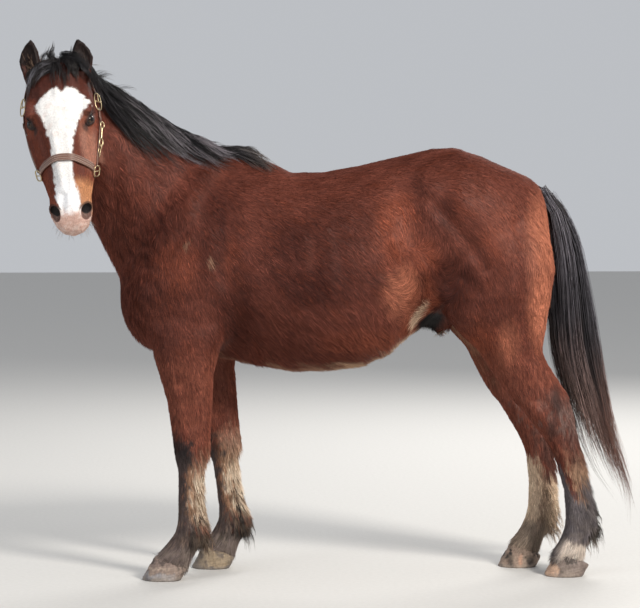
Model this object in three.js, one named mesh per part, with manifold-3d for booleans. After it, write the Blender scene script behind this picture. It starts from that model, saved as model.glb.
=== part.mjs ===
// A bay horse of 14 hands in its winter coat, standing, with its head turned to its left, at life size.
// Millimetres, +Z up. The horse faces -X, its left side is towards -Y, and its hooves stand on z = 0.
// Each length of flesh is lofted between two profile lines. The lofts are joined into one body, and thin
// cuts then part it into head, ears, neck, trunk and legs. Hair, hooves, eyes and halter lie on or in it.
import * as THREE from "three";
import { mergeVertices } from "three/addons/utils/BufferGeometryUtils.js";
import Module from "manifold-3d";

const wasm = await Module();
wasm.setup();

// Driving sizes
const CUT = 0.8; // the width of each cut between two pieces
const HEAD_LENGTH = 562; // from the poll to the tip of the upper lip
const STRAP_WIDTH = 25;
const STRAP_THICK = 5;
const EYE_RADIUS = 21;
const FAR = 1500; // a length that reaches past the whole body

// Stance: how far each hoof stands from that of the left leg, and the height its leg swings from
const FORE_STEP = 166;
const FORE_PIVOT = 1250;
const HIND_STEP = -130;
const HIND_PIVOT = 870;

// The turned head: where the poll is, where the muzzle points and where the forehead faces
const POLL = new THREE.Vector3(-870, -300, 1715);
const MUZZLE_WAY = new THREE.Vector3(0.062, -0.264, -0.963);
const FOREHEAD_WAY = new THREE.Vector3(-0.078, -0.963, 0.258);

const LEFT = -1;
const RIGHT = 1;
const ACROSS = new THREE.Vector3(0, 1, 0);
const V = (x, y, z) => new THREE.Vector3(x, y, z);

// ---------------------------------------------------------------- shaping tools

// The values of a table of stations at a place between them, on a smooth line that never overshoots.
function between(rows, at) {
  const sign = Math.sign(rows[1].at - rows[0].at);
  let i = 0;
  while (i < rows.length - 2 && (at - rows[i + 1].at) * sign > 0) i++;
  const [a, b] = [rows[i], rows[i + 1]];
  const span = b.at - a.at;
  const share = THREE.MathUtils.clamp((at - a.at) / span, 0, 1);
  const slope = (k, key) => (rows[k + 1][key] - rows[k][key]) / (rows[k + 1].at - rows[k].at);
  const lean = (k, key) => {
    if (k === 0 || k === rows.length - 1) return slope(Math.min(k, rows.length - 2), key);
    const [before, after] = [slope(k - 1, key), slope(k, key)];
    return before * after <= 0 ? 0 : (2 * before * after) / (before + after);
  };
  const [s2, s3] = [share ** 2, share ** 3];
  const found = { at };
  for (const key of Object.keys(a).filter((k) => k !== "at"))
    found[key] =
      (2 * s3 - 3 * s2 + 1) * a[key] +
      (s3 - 2 * s2 + share) * span * lean(i, key) +
      (3 * s2 - 2 * s3) * b[key] +
      (s3 - s2) * span * lean(i + 1, key);
  return found;
}

// Every station of a table, with more put in between each two.
function stations(rows, parts) {
  const places = [];
  for (let i = 0; i < rows.length - 1; i++)
    for (let k = 0; k < parts; k++) places.push(THREE.MathUtils.lerp(rows[i].at, rows[i + 1].at, k / parts));
  places.push(rows.at(-1).at);
  return places.map((at) => between(rows, at));
}

// The same stations, with the two ends moved out by grow.
function stretched(rows, grow) {
  const way = Math.sign(rows[1].at - rows[0].at);
  const last = rows.length - 1;
  return rows.map((row, i) => ({ ...row, at: row.at + way * grow * ((i === last) - (i === 0)) }));
}

// One cross-section: an egg from a bottom to a top point, widest at the share belt of its height.
// crown and keel say how square its upper and lower halves are: 2 is an ellipse.
function eggRing({ top, bottom, side, half, belt = 0.5, crown = 2, keel = 2 }, segments) {
  const centre = bottom.clone().lerp(top, belt);
  return Array.from({ length: segments }, (_, i) => {
    const turn = ((i + 0.5) / segments) * 2 * Math.PI;
    const [across, rise] = [Math.cos(turn), Math.sin(turn)];
    const power = 2 / (rise > 0 ? crown : keel);
    return centre
      .clone()
      .lerp(rise > 0 ? top : bottom, Math.abs(rise) ** power)
      .addScaledVector(side, half * Math.sign(across) * Math.abs(across) ** power);
  });
}

// The closed surface through a row of rings, with a flat fan over each end.
function loft(rings) {
  const count = rings[0].length;
  const middle = (ring) => ring.reduce((sum, p) => sum.add(p), V(0, 0, 0)).divideScalar(count);
  const points = [...rings.flat(), middle(rings[0]), middle(rings.at(-1))];
  const [first, last] = [points.length - 2, points.length - 1];
  const index = [];
  for (let r = 0; r < rings.length - 1; r++)
    for (let i = 0; i < count; i++) {
      const [a, b] = [r * count + i, r * count + ((i + 1) % count)];
      index.push(a, b, b + count, a, b + count, a + count);
    }
  const end = (rings.length - 1) * count;
  for (let i = 0; i < count; i++) {
    const next = (i + 1) % count;
    index.push(first, next, i, last, end + i, end + next);
  }
  const made = new THREE.BufferGeometry().setFromPoints(points);
  made.setIndex(index);
  return made;
}

// A closed geometry as a solid that can be cut and joined.
function solid(geometry) {
  const bare = geometry.clone();
  bare.deleteAttribute("normal");
  bare.deleteAttribute("uv");
  const merged = mergeVertices(bare, 1e-3);
  const triVerts = new Uint32Array(merged.index.array);
  const build = () =>
    new wasm.Manifold(new wasm.Mesh({ numProp: 3, vertProperties: merged.attributes.position.array, triVerts }));
  const made = build();
  if (made.volume() > 0) return made;
  for (let i = 0; i < triVerts.length; i += 3) [triVerts[i + 1], triVerts[i + 2]] = [triVerts[i + 2], triVerts[i + 1]];
  return build();
}

const joined = (solids) => solids.reduce((sum, next) => sum.add(next));

// The largest body of a solid, without the crumbs that a cut may leave.
const largest = (made) => made.decompose().reduce((a, b) => (a.volume() > b.volume() ? a : b));

// The same, without details finer than a step.
const plain = (made, step) => largest(made.asOriginal().simplify(step));

function ellipsoid(centre, radii, turn = [0, 0, 0], segments = 20) {
  const ball = new THREE.SphereGeometry(1, segments, Math.round(segments * 0.6));
  const spin = new THREE.Quaternion().setFromEuler(new THREE.Euler(...turn));
  return solid(ball.applyMatrix4(new THREE.Matrix4().compose(centre, spin, V(...radii))));
}

// All space beyond a plane, as far as the body reaches. grow moves its face back towards the body.
function beyond(point, way, grow = 0) {
  const box = new THREE.BoxGeometry(2 * FAR, 2 * FAR, FAR);
  const facing = new THREE.Quaternion().setFromUnitVectors(V(0, 0, 1), way.clone().normalize());
  const centre = point.clone().addScaledVector(way.clone().normalize(), FAR / 2 - grow);
  return solid(box.applyMatrix4(new THREE.Matrix4().compose(centre, facing, V(1, 1, 1))));
}

// A flat band swept along places on the skin, each a point and the skin's outward way there.
function band(places, width, thick, closed) {
  const rings = places.map(({ point, out }, i) => {
    const ahead = places[closed ? (i + 1) % places.length : Math.min(i + 1, places.length - 1)].point;
    const behind = places[closed ? (i + places.length - 1) % places.length : Math.max(i - 1, 0)].point;
    const side = ahead.clone().sub(behind).cross(out).normalize();
    const rise = side.clone().cross(ahead.clone().sub(behind)).normalize();
    if (rise.dot(out) < 0) rise.negate();
    const corner = (across, up) =>
      point
        .clone()
        .addScaledVector(side, (across * width) / 2)
        .addScaledVector(rise, up);
    return [corner(-1, CUT), corner(1, CUT), corner(1, thick), corner(0, thick * 1.2), corner(-1, thick)];
  });
  if (!closed) return solid(loft(rings));
  const count = rings[0].length;
  const index = [];
  rings.forEach((_, r) => {
    const [from, to] = [r * count, ((r + 1) % rings.length) * count];
    for (let i = 0; i < count; i++) {
      const next = (i + 1) % count;
      index.push(from + i, from + next, to + next, from + i, to + next, to + i);
    }
  });
  const made = new THREE.BufferGeometry().setFromPoints(rings.flat());
  made.setIndex(index);
  return solid(made);
}

// ---------------------------------------------------------------- trunk

// Stations from the buttocks to the breast: the back line, the belly line and the half-width
const TRUNK = [
  { at: 778, top: 1140, bottom: 1000, half: 55, belt: 0.5, crown: 2, keel: 2 },
  { at: 766, top: 1250, bottom: 930, half: 105, belt: 0.5, crown: 2, keel: 2 },
  { at: 741, top: 1308, bottom: 892, half: 145, belt: 0.52, crown: 2, keel: 2 },
  { at: 700, top: 1338, bottom: 878, half: 182, belt: 0.55, crown: 2.05, keel: 2 },
  { at: 620, top: 1374, bottom: 872, half: 222, belt: 0.58, crown: 2.15, keel: 2 },
  { at: 530, top: 1411, bottom: 866, half: 245, belt: 0.61, crown: 2.2, keel: 2 },
  { at: 445, top: 1435, bottom: 860, half: 254, belt: 0.62, crown: 2.15, keel: 2 },
  { at: 370, top: 1430, bottom: 850, half: 254, belt: 0.58, crown: 2.1, keel: 2.05 },
  { at: 303, top: 1414, bottom: 808, half: 262, belt: 0.52, crown: 2.1, keel: 2.1 },
  { at: 220, top: 1396, bottom: 738, half: 276, belt: 0.47, crown: 2.15, keel: 2.15 },
  { at: 120, top: 1373, bottom: 699, half: 291, belt: 0.44, crown: 2.2, keel: 2.15 },
  { at: 0, top: 1353, bottom: 688, half: 297, belt: 0.43, crown: 2.2, keel: 2.1 },
  { at: -100, top: 1355, bottom: 689, half: 288, belt: 0.43, crown: 2.05, keel: 2.1 },
  { at: -175, top: 1392, bottom: 701, half: 270, belt: 0.43, crown: 1.75, keel: 2.05 },
  { at: -245, top: 1424, bottom: 714, half: 250, belt: 0.43, crown: 1.55, keel: 2 },
  { at: -310, top: 1424, bottom: 730, half: 236, belt: 0.44, crown: 1.55, keel: 2 },
  { at: -400, top: 1372, bottom: 742, half: 224, belt: 0.45, crown: 1.7, keel: 2 },
  { at: -500, top: 1255, bottom: 748, half: 214, belt: 0.46, crown: 1.9, keel: 2.1 },
  { at: -570, top: 1160, bottom: 764, half: 203, belt: 0.47, crown: 2, keel: 2.2 },
  { at: -622, top: 1085, bottom: 800, half: 176, belt: 0.48, crown: 2, keel: 2.2 },
  { at: -655, top: 1030, bottom: 845, half: 132, belt: 0.5, crown: 2, keel: 2 },
  { at: -670, top: 985, bottom: 890, half: 70, belt: 0.5, crown: 2, keel: 2 },
];

function trunkLoft(grow) {
  return solid(
    loft(
      stretched(TRUNK, grow).map(({ at, top, bottom, half, ...shape }) =>
        eggRing(
          { top: V(at, 0, top + grow), bottom: V(at, 0, bottom - grow), side: ACROSS, half: half + grow, ...shape },
          28,
        ),
      ),
    ),
  );
}

// Muscles that stand out of the lofts, on each side: centre, radii and turn
const MUSCLES = [
  { at: [-408, 108, 1135], radii: [100, 92, 250], turn: [0.24, -0.48, 0] }, // shoulder blade
  { at: [-545, 112, 955], radii: [100, 92, 125], turn: [0, 0.4, 0] }, // point of the shoulder
  { at: [-395, 140, 900], radii: [125, 80, 150], turn: [0, 0.35, 0] }, // back of the upper arm
  { at: [460, 140, 1240], radii: [160, 92, 120], turn: [0, 0.25, 0] }, // hip
];

function muscles(side, grow) {
  return MUSCLES.map(({ at: [x, y, z], radii, turn }) =>
    ellipsoid(V(x, side * y, z), radii.map((r) => r + grow), [side * turn[0], turn[1], side * turn[2]], 18),
  );
}

function sheath(grow) {
  return ellipsoid(V(412, 0, 858), [52 + grow, 34 + grow, 42 + grow], [0, -0.5, 0], 16);
}

// ---------------------------------------------------------------- neck

// Stations from inside the shoulders to inside the head: the crest line, the throat line and the half-width
const NECK = [
  { crest: V(-215, 0, 1385), throat: V(-560, 0, 860), half: 190, belt: 0.42, crown: 1.7, keel: 2 },
  { crest: V(-335, 0, 1428), throat: V(-652, 0, 965), half: 172, belt: 0.42, crown: 1.6, keel: 2.1 },
  { crest: V(-440, -4, 1462), throat: V(-708, -4, 1082), half: 142, belt: 0.42, crown: 1.6, keel: 2.1 },
  { crest: V(-565, -24, 1535), throat: V(-778, -24, 1220), half: 112, belt: 0.42, crown: 1.65, keel: 2.1 },
  { crest: V(-690, -80, 1622), throat: V(-835, -62, 1370), half: 92, belt: 0.42, crown: 1.75, keel: 2.1 },
  { crest: V(-785, -172, 1662), throat: V(-858, -112, 1490), half: 82, belt: 0.45, crown: 1.9, keel: 2.1 },
  { crest: V(-842, -252, 1660), throat: V(-858, -176, 1572), half: 68, belt: 0.5, crown: 2, keel: 2 },
].map((row, i) => ({ at: i, ...row }));

const CREST = new THREE.CatmullRomCurve3(NECK.map((row) => row.crest));
const THROAT = new THREE.CatmullRomCurve3(NECK.map((row) => row.throat));
const NECK_SIZES = NECK.map(({ crest, throat, ...sizes }) => sizes);
const NECK_STEPS = 15;

// The cross-section of the neck at a share of its length.
function neckSection(share, grow = 0) {
  const [crest, throat] = [CREST.getPoint(share), THROAT.getPoint(share)];
  const up = crest.clone().sub(throat).normalize();
  const ahead = CREST.getTangent(share).add(THROAT.getTangent(share));
  const { half, belt, crown, keel } = between(NECK_SIZES, share * (NECK.length - 1));
  return {
    top: crest.addScaledVector(up, grow),
    bottom: throat.addScaledVector(up, -grow),
    side: up.clone().cross(ahead).normalize(),
    half: half + grow,
    belt,
    crown,
    keel,
  };
}

function neckLoft(grow) {
  const shares = Array.from({ length: NECK_STEPS + 1 }, (_, i) => i / NECK_STEPS);
  return solid(loft(shares.map((share) => eggRing(neckSection(share, grow), 22))));
}

// ---------------------------------------------------------------- head

const toMuzzle = MUZZLE_WAY.clone().normalize();
const toForehead = FOREHEAD_WAY.clone().addScaledVector(toMuzzle, -FOREHEAD_WAY.dot(toMuzzle)).normalize();
const toLeft = toForehead.clone().cross(toMuzzle);
const HEAD = new THREE.Matrix4().makeBasis(toMuzzle, toLeft, toForehead).setPosition(POLL);
const HEAD_TURN = new THREE.Quaternion().setFromRotationMatrix(HEAD);

const SWAY = 18; // how far the lips are carried to the horse's left

// A place in the head's own frame: along it from the poll, to its left, and up out of its forehead.
function inHead(along, left, up) {
  const shift = SWAY * THREE.MathUtils.smoothstep(along, 150, 520);
  return V(along, left + shift, up).applyMatrix4(HEAD);
}

// Stations from the poll to the lips: the face line, the jaw line and the half-width at five levels
const HEAD_STATIONS = [
  { at: -20, top: -46, bottom: -96, roof: 14, brow: 20, cheek: 22, jaw: 16 },
  { at: -8, top: -16, bottom: -130, roof: 36, brow: 54, cheek: 60, jaw: 42 },
  { at: 12, top: 4, bottom: -165, roof: 48, brow: 72, cheek: 82, jaw: 57 },
  { at: 45, top: 18, bottom: -205, roof: 57, brow: 88, cheek: 97, jaw: 68 },
  { at: 95, top: 26, bottom: -236, roof: 64, brow: 101, cheek: 108, jaw: 74 },
  { at: 145, top: 28, bottom: -244, roof: 67, brow: 109, cheek: 116, jaw: 78 },
  { at: 195, top: 24, bottom: -232, roof: 62, brow: 107, cheek: 119, jaw: 76 },
  { at: 245, top: 17, bottom: -208, roof: 54, brow: 94, cheek: 115, jaw: 70 },
  { at: 295, top: 9, bottom: -181, roof: 46, brow: 80, cheek: 105, jaw: 62 },
  { at: 345, top: 2, bottom: -158, roof: 38, brow: 68, cheek: 92, jaw: 54 },
  { at: 395, top: -4, bottom: -140, roof: 34, brow: 60, cheek: 78, jaw: 46 },
  { at: 440, top: -9, bottom: -131, roof: 33, brow: 57, cheek: 67, jaw: 42 },
  { at: 478, top: -15, bottom: -129, roof: 37, brow: 62, cheek: 65, jaw: 44 },
  { at: 512, top: -25, bottom: -126, roof: 39, brow: 60, cheek: 60, jaw: 42 },
  { at: 538, top: -42, bottom: -118, roof: 34, brow: 48, cheek: 48, jaw: 34 },
  { at: 554, top: -58, bottom: -106, roof: 22, brow: 32, cheek: 32, jaw: 22 },
  { at: HEAD_LENGTH, top: -74, bottom: -92, roof: 8, brow: 12, cheek: 12, jaw: 8 },
];

// The share of a section's height at which each width is measured
const LEVELS = { jaw: 0.08, cheek: 0.4, brow: 0.74, roof: 0.94 };

function headRing(row, grow, segments) {
  const height = row.top - row.bottom;
  const rightSide = Object.entries(LEVELS).map(([key, level]) =>
    V(row.at, -(row[key] + grow), row.bottom + level * height),
  );
  const leftSide = rightSide.map((p) => V(p.x, -p.y, p.z)).reverse();
  const outline = [V(row.at, 0, row.bottom - grow), ...rightSide, V(row.at, 0, row.top + grow), ...leftSide];
  const curve = new THREE.CatmullRomCurve3(outline, true, "centripetal");
  return Array.from({ length: segments }, (_, i) => inHead(...curve.getPoint(i / segments).toArray()));
}

function headLoft(grow) {
  return solid(loft(stretched(HEAD_STATIONS, grow).map((row) => headRing(row, grow, 24))));
}

// The ridges of bone on each side of the face: centre, radii and turn in the head's frame
const FACE_BONES = [
  { at: [170, 90, -10], radii: [42, 20, 15], turn: [0.5, 0.1, 0.08] }, // brow over the eye
  { at: [264, 92, -66], radii: [78, 16, 12], turn: [0, 0.2, -0.3] }, // crest of the cheekbone
  { at: [128, 80, -145], radii: [92, 40, 80], turn: [0, 0, 0] }, // round of the jaw
  { at: [486, 42, -54], radii: [44, 25, 32], turn: [0, 0, -0.1] }, // wing of the nostril
];

function headEllipsoid({ at, radii, turn }, side, grow = 0, segments = 10) {
  const spin = HEAD_TURN.clone().multiply(
    new THREE.Quaternion().setFromEuler(new THREE.Euler(side * turn[0], turn[1], side * turn[2])),
  );
  const ball = new THREE.SphereGeometry(1, segments, Math.round(segments * 0.6));
  const size = V(...radii.map((r) => r + grow));
  return solid(ball.applyMatrix4(new THREE.Matrix4().compose(inHead(at[0], side * at[1], at[2]), spin, size)));
}

// In the head's frame +Y is the horse's left, so the left side has the sign +1 there.
const headSide = (side) => -side;

const NOSTRIL = { at: [500, 51, -40], radii: [29, 14, 24], turn: [0.5, 0.2, -0.25] };
const EYE = { at: [191, 91, -36], radii: [EYE_RADIUS, EYE_RADIUS, EYE_RADIUS], turn: [0, 0, 0] };
const MOUTH_HEIGHT = -100;
const MOUTH_GAP = 3;

// The slit between the lips.
function mouth() {
  const slit = new THREE.BoxGeometry(110, 200, MOUTH_GAP).translate(HEAD_LENGTH - 35, 0, MOUTH_HEIGHT);
  const core = new THREE.BoxGeometry(200, 2 * 46, 3 * MOUTH_GAP).translate(HEAD_LENGTH - 85, 0, MOUTH_HEIGHT);
  return solid(slit.applyMatrix4(HEAD)).subtract(solid(core.applyMatrix4(HEAD)));
}

// ---------------------------------------------------------------- ears

const EAR_LENGTH = { [LEFT]: 126, [RIGHT]: 135 };
const EAR_BASE = { along: 60, left: 78, up: -38 };

// Stations up the ear: half its width, half its depth, and how far it curls in and leans forward
const EAR = [
  { at: 0, half: 24, deep: 26, curl: 4, lean: 0 },
  { at: 0.18, half: 28, deep: 27, curl: 0, lean: 0 },
  { at: 0.36, half: 32, deep: 25, curl: -4, lean: 1 },
  { at: 0.55, half: 34, deep: 22, curl: -6, lean: 3 },
  { at: 0.74, half: 28, deep: 17, curl: -3, lean: 6 },
  { at: 0.89, half: 17, deep: 11, curl: 2, lean: 10 },
  { at: 1, half: 4, deep: 5, curl: 7, lean: 13 },
];

// The ear's own frame: up it, across it away from the other ear, and out of its opening.
function earFrame(side) {
  const left = headSide(side);
  const up = toMuzzle.clone().negate().addScaledVector(toLeft, left * 0.015).addScaledVector(toForehead, 0.14);
  up.normalize();
  const opening = toForehead.clone().addScaledVector(toLeft, left * 0.25);
  opening.addScaledVector(up, -opening.dot(up)).normalize();
  const outward = opening.clone().cross(up).multiplyScalar(-left);
  return { up, opening, outward, root: inHead(EAR_BASE.along, left * EAR_BASE.left, EAR_BASE.up) };
}

function earLoft(side, { shrink = 0, forward = 0, from = 0, to = 1 }) {
  const { up, opening, outward, root } = earFrame(side);
  const rows = stations(EAR, 1).filter((row) => row.at >= from && row.at <= to);
  return solid(
    loft(
      rows.map(({ at, half, deep, curl, lean }) => {
        const centre = root.clone().addScaledVector(up, at * EAR_LENGTH[side]);
        centre.addScaledVector(outward, -curl).addScaledVector(opening, lean + forward * deep);
        const reach = Math.max(deep - shrink, 1);
        return eggRing(
          {
            top: centre.clone().addScaledVector(opening, reach),
            bottom: centre.clone().addScaledVector(opening, -reach),
            side: outward,
            half: Math.max(half - shrink, 1),
          },
          12,
        );
      }),
    ),
  );
}

const ear = (side) => earLoft(side, {}).subtract(earLoft(side, { shrink: 7, forward: 0.75, from: 0.18, to: 0.89 }));

// ---------------------------------------------------------------- legs

// Stations down a leg: its front and back lines, its half-width and how far out it stands
const FORELEG = [
  { at: 1080, front: -520, back: -400, half: 30, out: 108 },
  { at: 985, front: -545, back: -350, half: 62, out: 126 },
  { at: 900, front: -560, back: -322, half: 80, out: 146 },
  { at: 820, front: -565, back: -322, half: 84, out: 150 },
  { at: 755, front: -560, back: -342, half: 78, out: 149 },
  { at: 690, front: -541, back: -358, half: 67, out: 147 },
  { at: 600, front: -514, back: -362, half: 55, out: 143 },
  { at: 510, front: -500, back: -367, half: 47, out: 140 },
  { at: 455, front: -494, back: -371, half: 49, out: 138 },
  { at: 420, front: -490, back: -377, half: 48, out: 137 },
  { at: 385, front: -481, back: -390, half: 39, out: 136 },
  { at: 345, front: -476, back: -396, half: 32, out: 135 },
  { at: 260, front: -475, back: -398, half: 31, out: 133 },
  { at: 205, front: -477, back: -391, half: 35, out: 132 },
  { at: 165, front: -484, back: -381, half: 41, out: 132 },
  { at: 128, front: -506, back: -396, half: 38, out: 132 },
  { at: 100, front: -528, back: -414, half: 38, out: 132 },
  { at: 72, front: -551, back: -436, half: 45, out: 132 },
  { at: 42, front: -560, back: -448, half: 47, out: 132 },
];

const HINDLEG = [
  { at: 1250, front: 500, back: 660, half: 40, out: 100 },
  { at: 1140, front: 415, back: 770, half: 112, out: 132 },
  { at: 1040, front: 392, back: 781, half: 122, out: 134 },
  { at: 950, front: 386, back: 770, half: 118, out: 135 },
  { at: 880, front: 405, back: 757, half: 106, out: 133 },
  { at: 815, front: 462, back: 744, half: 90, out: 130 },
  { at: 760, front: 522, back: 738, half: 75, out: 127 },
  { at: 700, front: 560, back: 762, half: 62, out: 124 },
  { at: 645, front: 598, back: 796, half: 52, out: 121 },
  { at: 600, front: 632, back: 828, half: 45, out: 119 },
  { at: 560, front: 672, back: 842, half: 49, out: 118 },
  { at: 510, front: 712, back: 853, half: 48, out: 116 },
  { at: 455, front: 752, back: 866, half: 39, out: 114 },
  { at: 400, front: 783, back: 879, half: 33, out: 113 },
  { at: 300, front: 812, back: 902, half: 31, out: 112 },
  { at: 225, front: 822, back: 914, half: 36, out: 111 },
  { at: 180, front: 822, back: 916, half: 42, out: 111 },
  { at: 140, front: 812, back: 902, half: 39, out: 111 },
  { at: 106, front: 797, back: 888, half: 38, out: 111 },
  { at: 74, front: 781, back: 882, half: 45, out: 111 },
  { at: 42, front: 774, back: 876, half: 47, out: 111 },
];

const forward = (step, pivot, height) => (step * Math.max(pivot - height, 0)) / pivot;

function legLoft(rows, side, step, pivot, grow) {
  return solid(
    loft(
      stations(rows, 1).map(({ at, front, back, half, out }) => {
        const x = forward(step, pivot, at);
        return eggRing(
          {
            top: V(front + x - grow, side * out, at),
            bottom: V(back + x + grow, side * out, at),
            side: ACROSS,
            half: half + grow,
            belt: 0.52,
            crown: 2.1,
            keel: 2.1,
          },
          14,
        );
      }),
    ),
  );
}

const STEPS = { [LEFT]: 0, [RIGHT]: 1 };
const foreleg = (side, grow) => legLoft(FORELEG, side, STEPS[side] * FORE_STEP, FORE_PIVOT, grow);
const hindleg = (side, grow) => legLoft(HINDLEG, side, STEPS[side] * HIND_STEP, HIND_PIVOT, grow);

// ---------------------------------------------------------------- hooves

const HOOF = { length: 133, half: 63, crownLength: 106, crownHalf: 50, toe: 80, heel: 38 };

// A hoof: its sole on the floor, and its upper rim sloping down from the toe to the heel.
function hoof(toe, out, grow = 0) {
  const { length, half, crownLength, crownHalf, toe: toeHeight, heel: heelHeight } = HOOF;
  const rimToe = toe + (length - crownLength) * 1.7;
  const ring = (front, back, width, frontHeight, backHeight) =>
    eggRing(
      {
        top: V(front - grow, out, frontHeight),
        bottom: V(back + grow, out, backHeight),
        side: ACROSS,
        half: width + grow,
        belt: 0.46,
        crown: 2.1,
        keel: 2.7,
      },
      16,
    );
  return solid(
    loft([
      ring(toe, toe + length, half, 0, 0),
      ring(toe + 4, toe + length, half - 2, 8, 5),
      ring(rimToe, rimToe + crownLength, crownHalf, toeHeight + grow, heelHeight + grow),
    ]),
  );
}

const FORE_TOE = -600;
const HIND_TOE = 748;
const FORE_OUT = 132;
const HIND_OUT = 111;
const hooves = (grow) => ({
  hoof_fore_left: hoof(FORE_TOE, LEFT * FORE_OUT, grow),
  hoof_fore_right: hoof(FORE_TOE + FORE_STEP, RIGHT * FORE_OUT, grow),
  hoof_hind_left: hoof(HIND_TOE, LEFT * HIND_OUT, grow),
  hoof_hind_right: hoof(HIND_TOE + HIND_STEP, RIGHT * HIND_OUT, grow),
});

// ---------------------------------------------------------------- the whole body, and its cuts

function torso(grow) {
  const sides = [LEFT, RIGHT];
  return joined([
    trunkLoft(grow),
    sheath(grow),
    neckLoft(grow),
    ...sides.flatMap((side) => muscles(side, grow)),
    ...sides.map((side) => foreleg(side, grow)),
    ...sides.map((side) => hindleg(side, grow)),
  ]);
}

function wholeHead(grow) {
  const sides = [LEFT, RIGHT];
  const bones = sides.flatMap((side) => FACE_BONES.map((bone) => headEllipsoid(bone, headSide(side), grow)));
  return joined([headLoft(grow), ...bones]);
}

// The largest detail that is left out of the joined surfaces
const BODY_FINE = 5;
const HEAD_FINE = 2.8;
const NODE_FINE = 0.55;

const bare = plain(torso(0), BODY_FINE).add(plain(wholeHead(0), HEAD_FINE));
const clear = torso(3 * CUT + BODY_FINE).add(wholeHead(2 * CUT + HEAD_FINE)); // the body, a little larger all over
const clearHooves = joined(Object.values(hooves(CUT)));
const eyeBall = (side, grow) => headEllipsoid(EYE, headSide(side), grow, 12);

let rest = bare
  .subtract(clearHooves)
  .subtract(mouth())
  .subtract(eyeBall(LEFT, CUT))
  .subtract(eyeBall(RIGHT, CUT))
  .subtract(headEllipsoid(NOSTRIL, 1, 0, 12))
  .subtract(headEllipsoid(NOSTRIL, -1, 0, 12));

// Takes a region's share of the body as one piece, and leaves a thin cut round it.
function part(region) {
  const taken = plain(rest.intersect(region(0)), NODE_FINE);
  rest = rest.subtract(region(CUT));
  return taken;
}

const HEAD_CUT = { along: -6, up: 0, steep: 0.84, flat: 0.54, throat: -250, side: 126 };
const NECK_CUT = { at: V(-505, 0, 1180), way: V(-0.86, 0, 0.5) };
const FORE_CUT = { at: V(-430, 190, 830), lean: 0.75 };
const HIND_CUT = { at: V(560, 130, 905), lean: 0.35 };

// The head's region: past a plane that slants from poll to jaw, above the throat and between the cheeks.
function headRegion(grow) {
  const slant = toMuzzle.clone().multiplyScalar(HEAD_CUT.steep).addScaledVector(toForehead, HEAD_CUT.flat);
  const past = beyond(inHead(HEAD_CUT.along, 0, HEAD_CUT.up), slant, grow);
  const cheeks = [1, -1].map((left) =>
    beyond(inHead(0, left * HEAD_CUT.side, 0), toLeft.clone().multiplyScalar(-left), grow),
  );
  const above = beyond(inHead(0, 0, HEAD_CUT.throat), toForehead, grow);
  return cheeks.reduce((left, next) => left.intersect(next), past.intersect(above));
}

// A leg's region: below a plane that leans in to the body's middle, in a span along the body.
const legRegion = (side, cut, from, to) => (grow) => {
  const below = beyond(V(cut.at.x, side * cut.at.y, cut.at.z), V(0, side * cut.lean, -1), grow);
  const outside = beyond(V(0, side * 12, 0), V(0, side, 0), grow);
  return below.intersect(outside).intersect(beyond(V(from, 0, 0), V(1, 0, 0), grow)).intersect(
    beyond(V(to, 0, 0), V(-1, 0, 0), grow),
  );
};

const flesh = {
  ear_left: plain(ear(LEFT).subtract(clear), 2 * NODE_FINE),
  ear_right: plain(ear(RIGHT).subtract(clear), 2 * NODE_FINE),
  head: part(headRegion),
  neck: part((grow) => beyond(NECK_CUT.at, NECK_CUT.way, grow)),
  foreleg_left: part(legRegion(LEFT, FORE_CUT, -700, -230)),
  foreleg_right: part(legRegion(RIGHT, FORE_CUT, -700, -200)),
  hindleg_left: part(legRegion(LEFT, HIND_CUT, 375, 1100)),
  hindleg_right: part(legRegion(RIGHT, HIND_CUT, 375, 1100)),
};
flesh.trunk = plain(rest, NODE_FINE);

// ---------------------------------------------------------------- halter

function toGeometry(made) {
  const { vertProperties, triVerts, numProp, numVert } = made.getMesh();
  const points = new Float32Array(numVert * 3);
  for (let i = 0; i < numVert; i++) points.set(vertProperties.subarray(i * numProp, i * numProp + 3), i * 3);
  const geometry = new THREE.BufferGeometry();
  geometry.setAttribute("position", new THREE.BufferAttribute(points, 3));
  geometry.setIndex(new THREE.BufferAttribute(triVerts, 1));
  geometry.computeVertexNormals();
  return geometry;
}

const skin = new THREE.Mesh(toGeometry(bare), new THREE.MeshBasicMaterial({ side: THREE.BackSide }));
const probe = new THREE.Raycaster();

// The place where a way out from a point in the head comes through the skin.
function meet(along, up, way) {
  probe.set(inHead(along, 0, up), way);
  const [hit] = probe.intersectObject(skin);
  return { point: hit.point, out: hit.face.normal.clone().addScaledVector(way, 0.7).normalize() };
}

// Places round the head in a plane that holds its left-right line: from and to are turns from its left.
function hoop({ along, up, lean, from, to }, steps) {
  const rise = toMuzzle.clone().multiplyScalar(lean[0]).addScaledVector(toForehead, lean[1]).normalize();
  return Array.from({ length: steps + 1 }, (_, i) => {
    const turn = THREE.MathUtils.degToRad(THREE.MathUtils.lerp(from, to, i / steps));
    const way = toLeft.clone().multiplyScalar(Math.cos(turn)).addScaledVector(rise, Math.sin(turn));
    return meet(along, up, way);
  });
}

const RING_AT = { along: 357, up: -82 };
const BUCKLE_AT = { along: 132, up: -97 };
const RING = { radius: 17, tube: 3 };
const sideWay = (side) => toLeft.clone().multiplyScalar(headSide(side));

// Places up one cheek, from the lower ring to the upper one.
function cheekPlaces(side) {
  const steps = 8;
  return Array.from({ length: steps + 1 }, (_, i) =>
    meet(
      THREE.MathUtils.lerp(RING_AT.along - 12, BUCKLE_AT.along + 14, i / steps),
      THREE.MathUtils.lerp(RING_AT.up - 3, BUCKLE_AT.up, i / steps),
      sideWay(side),
    ),
  );
}

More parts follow.
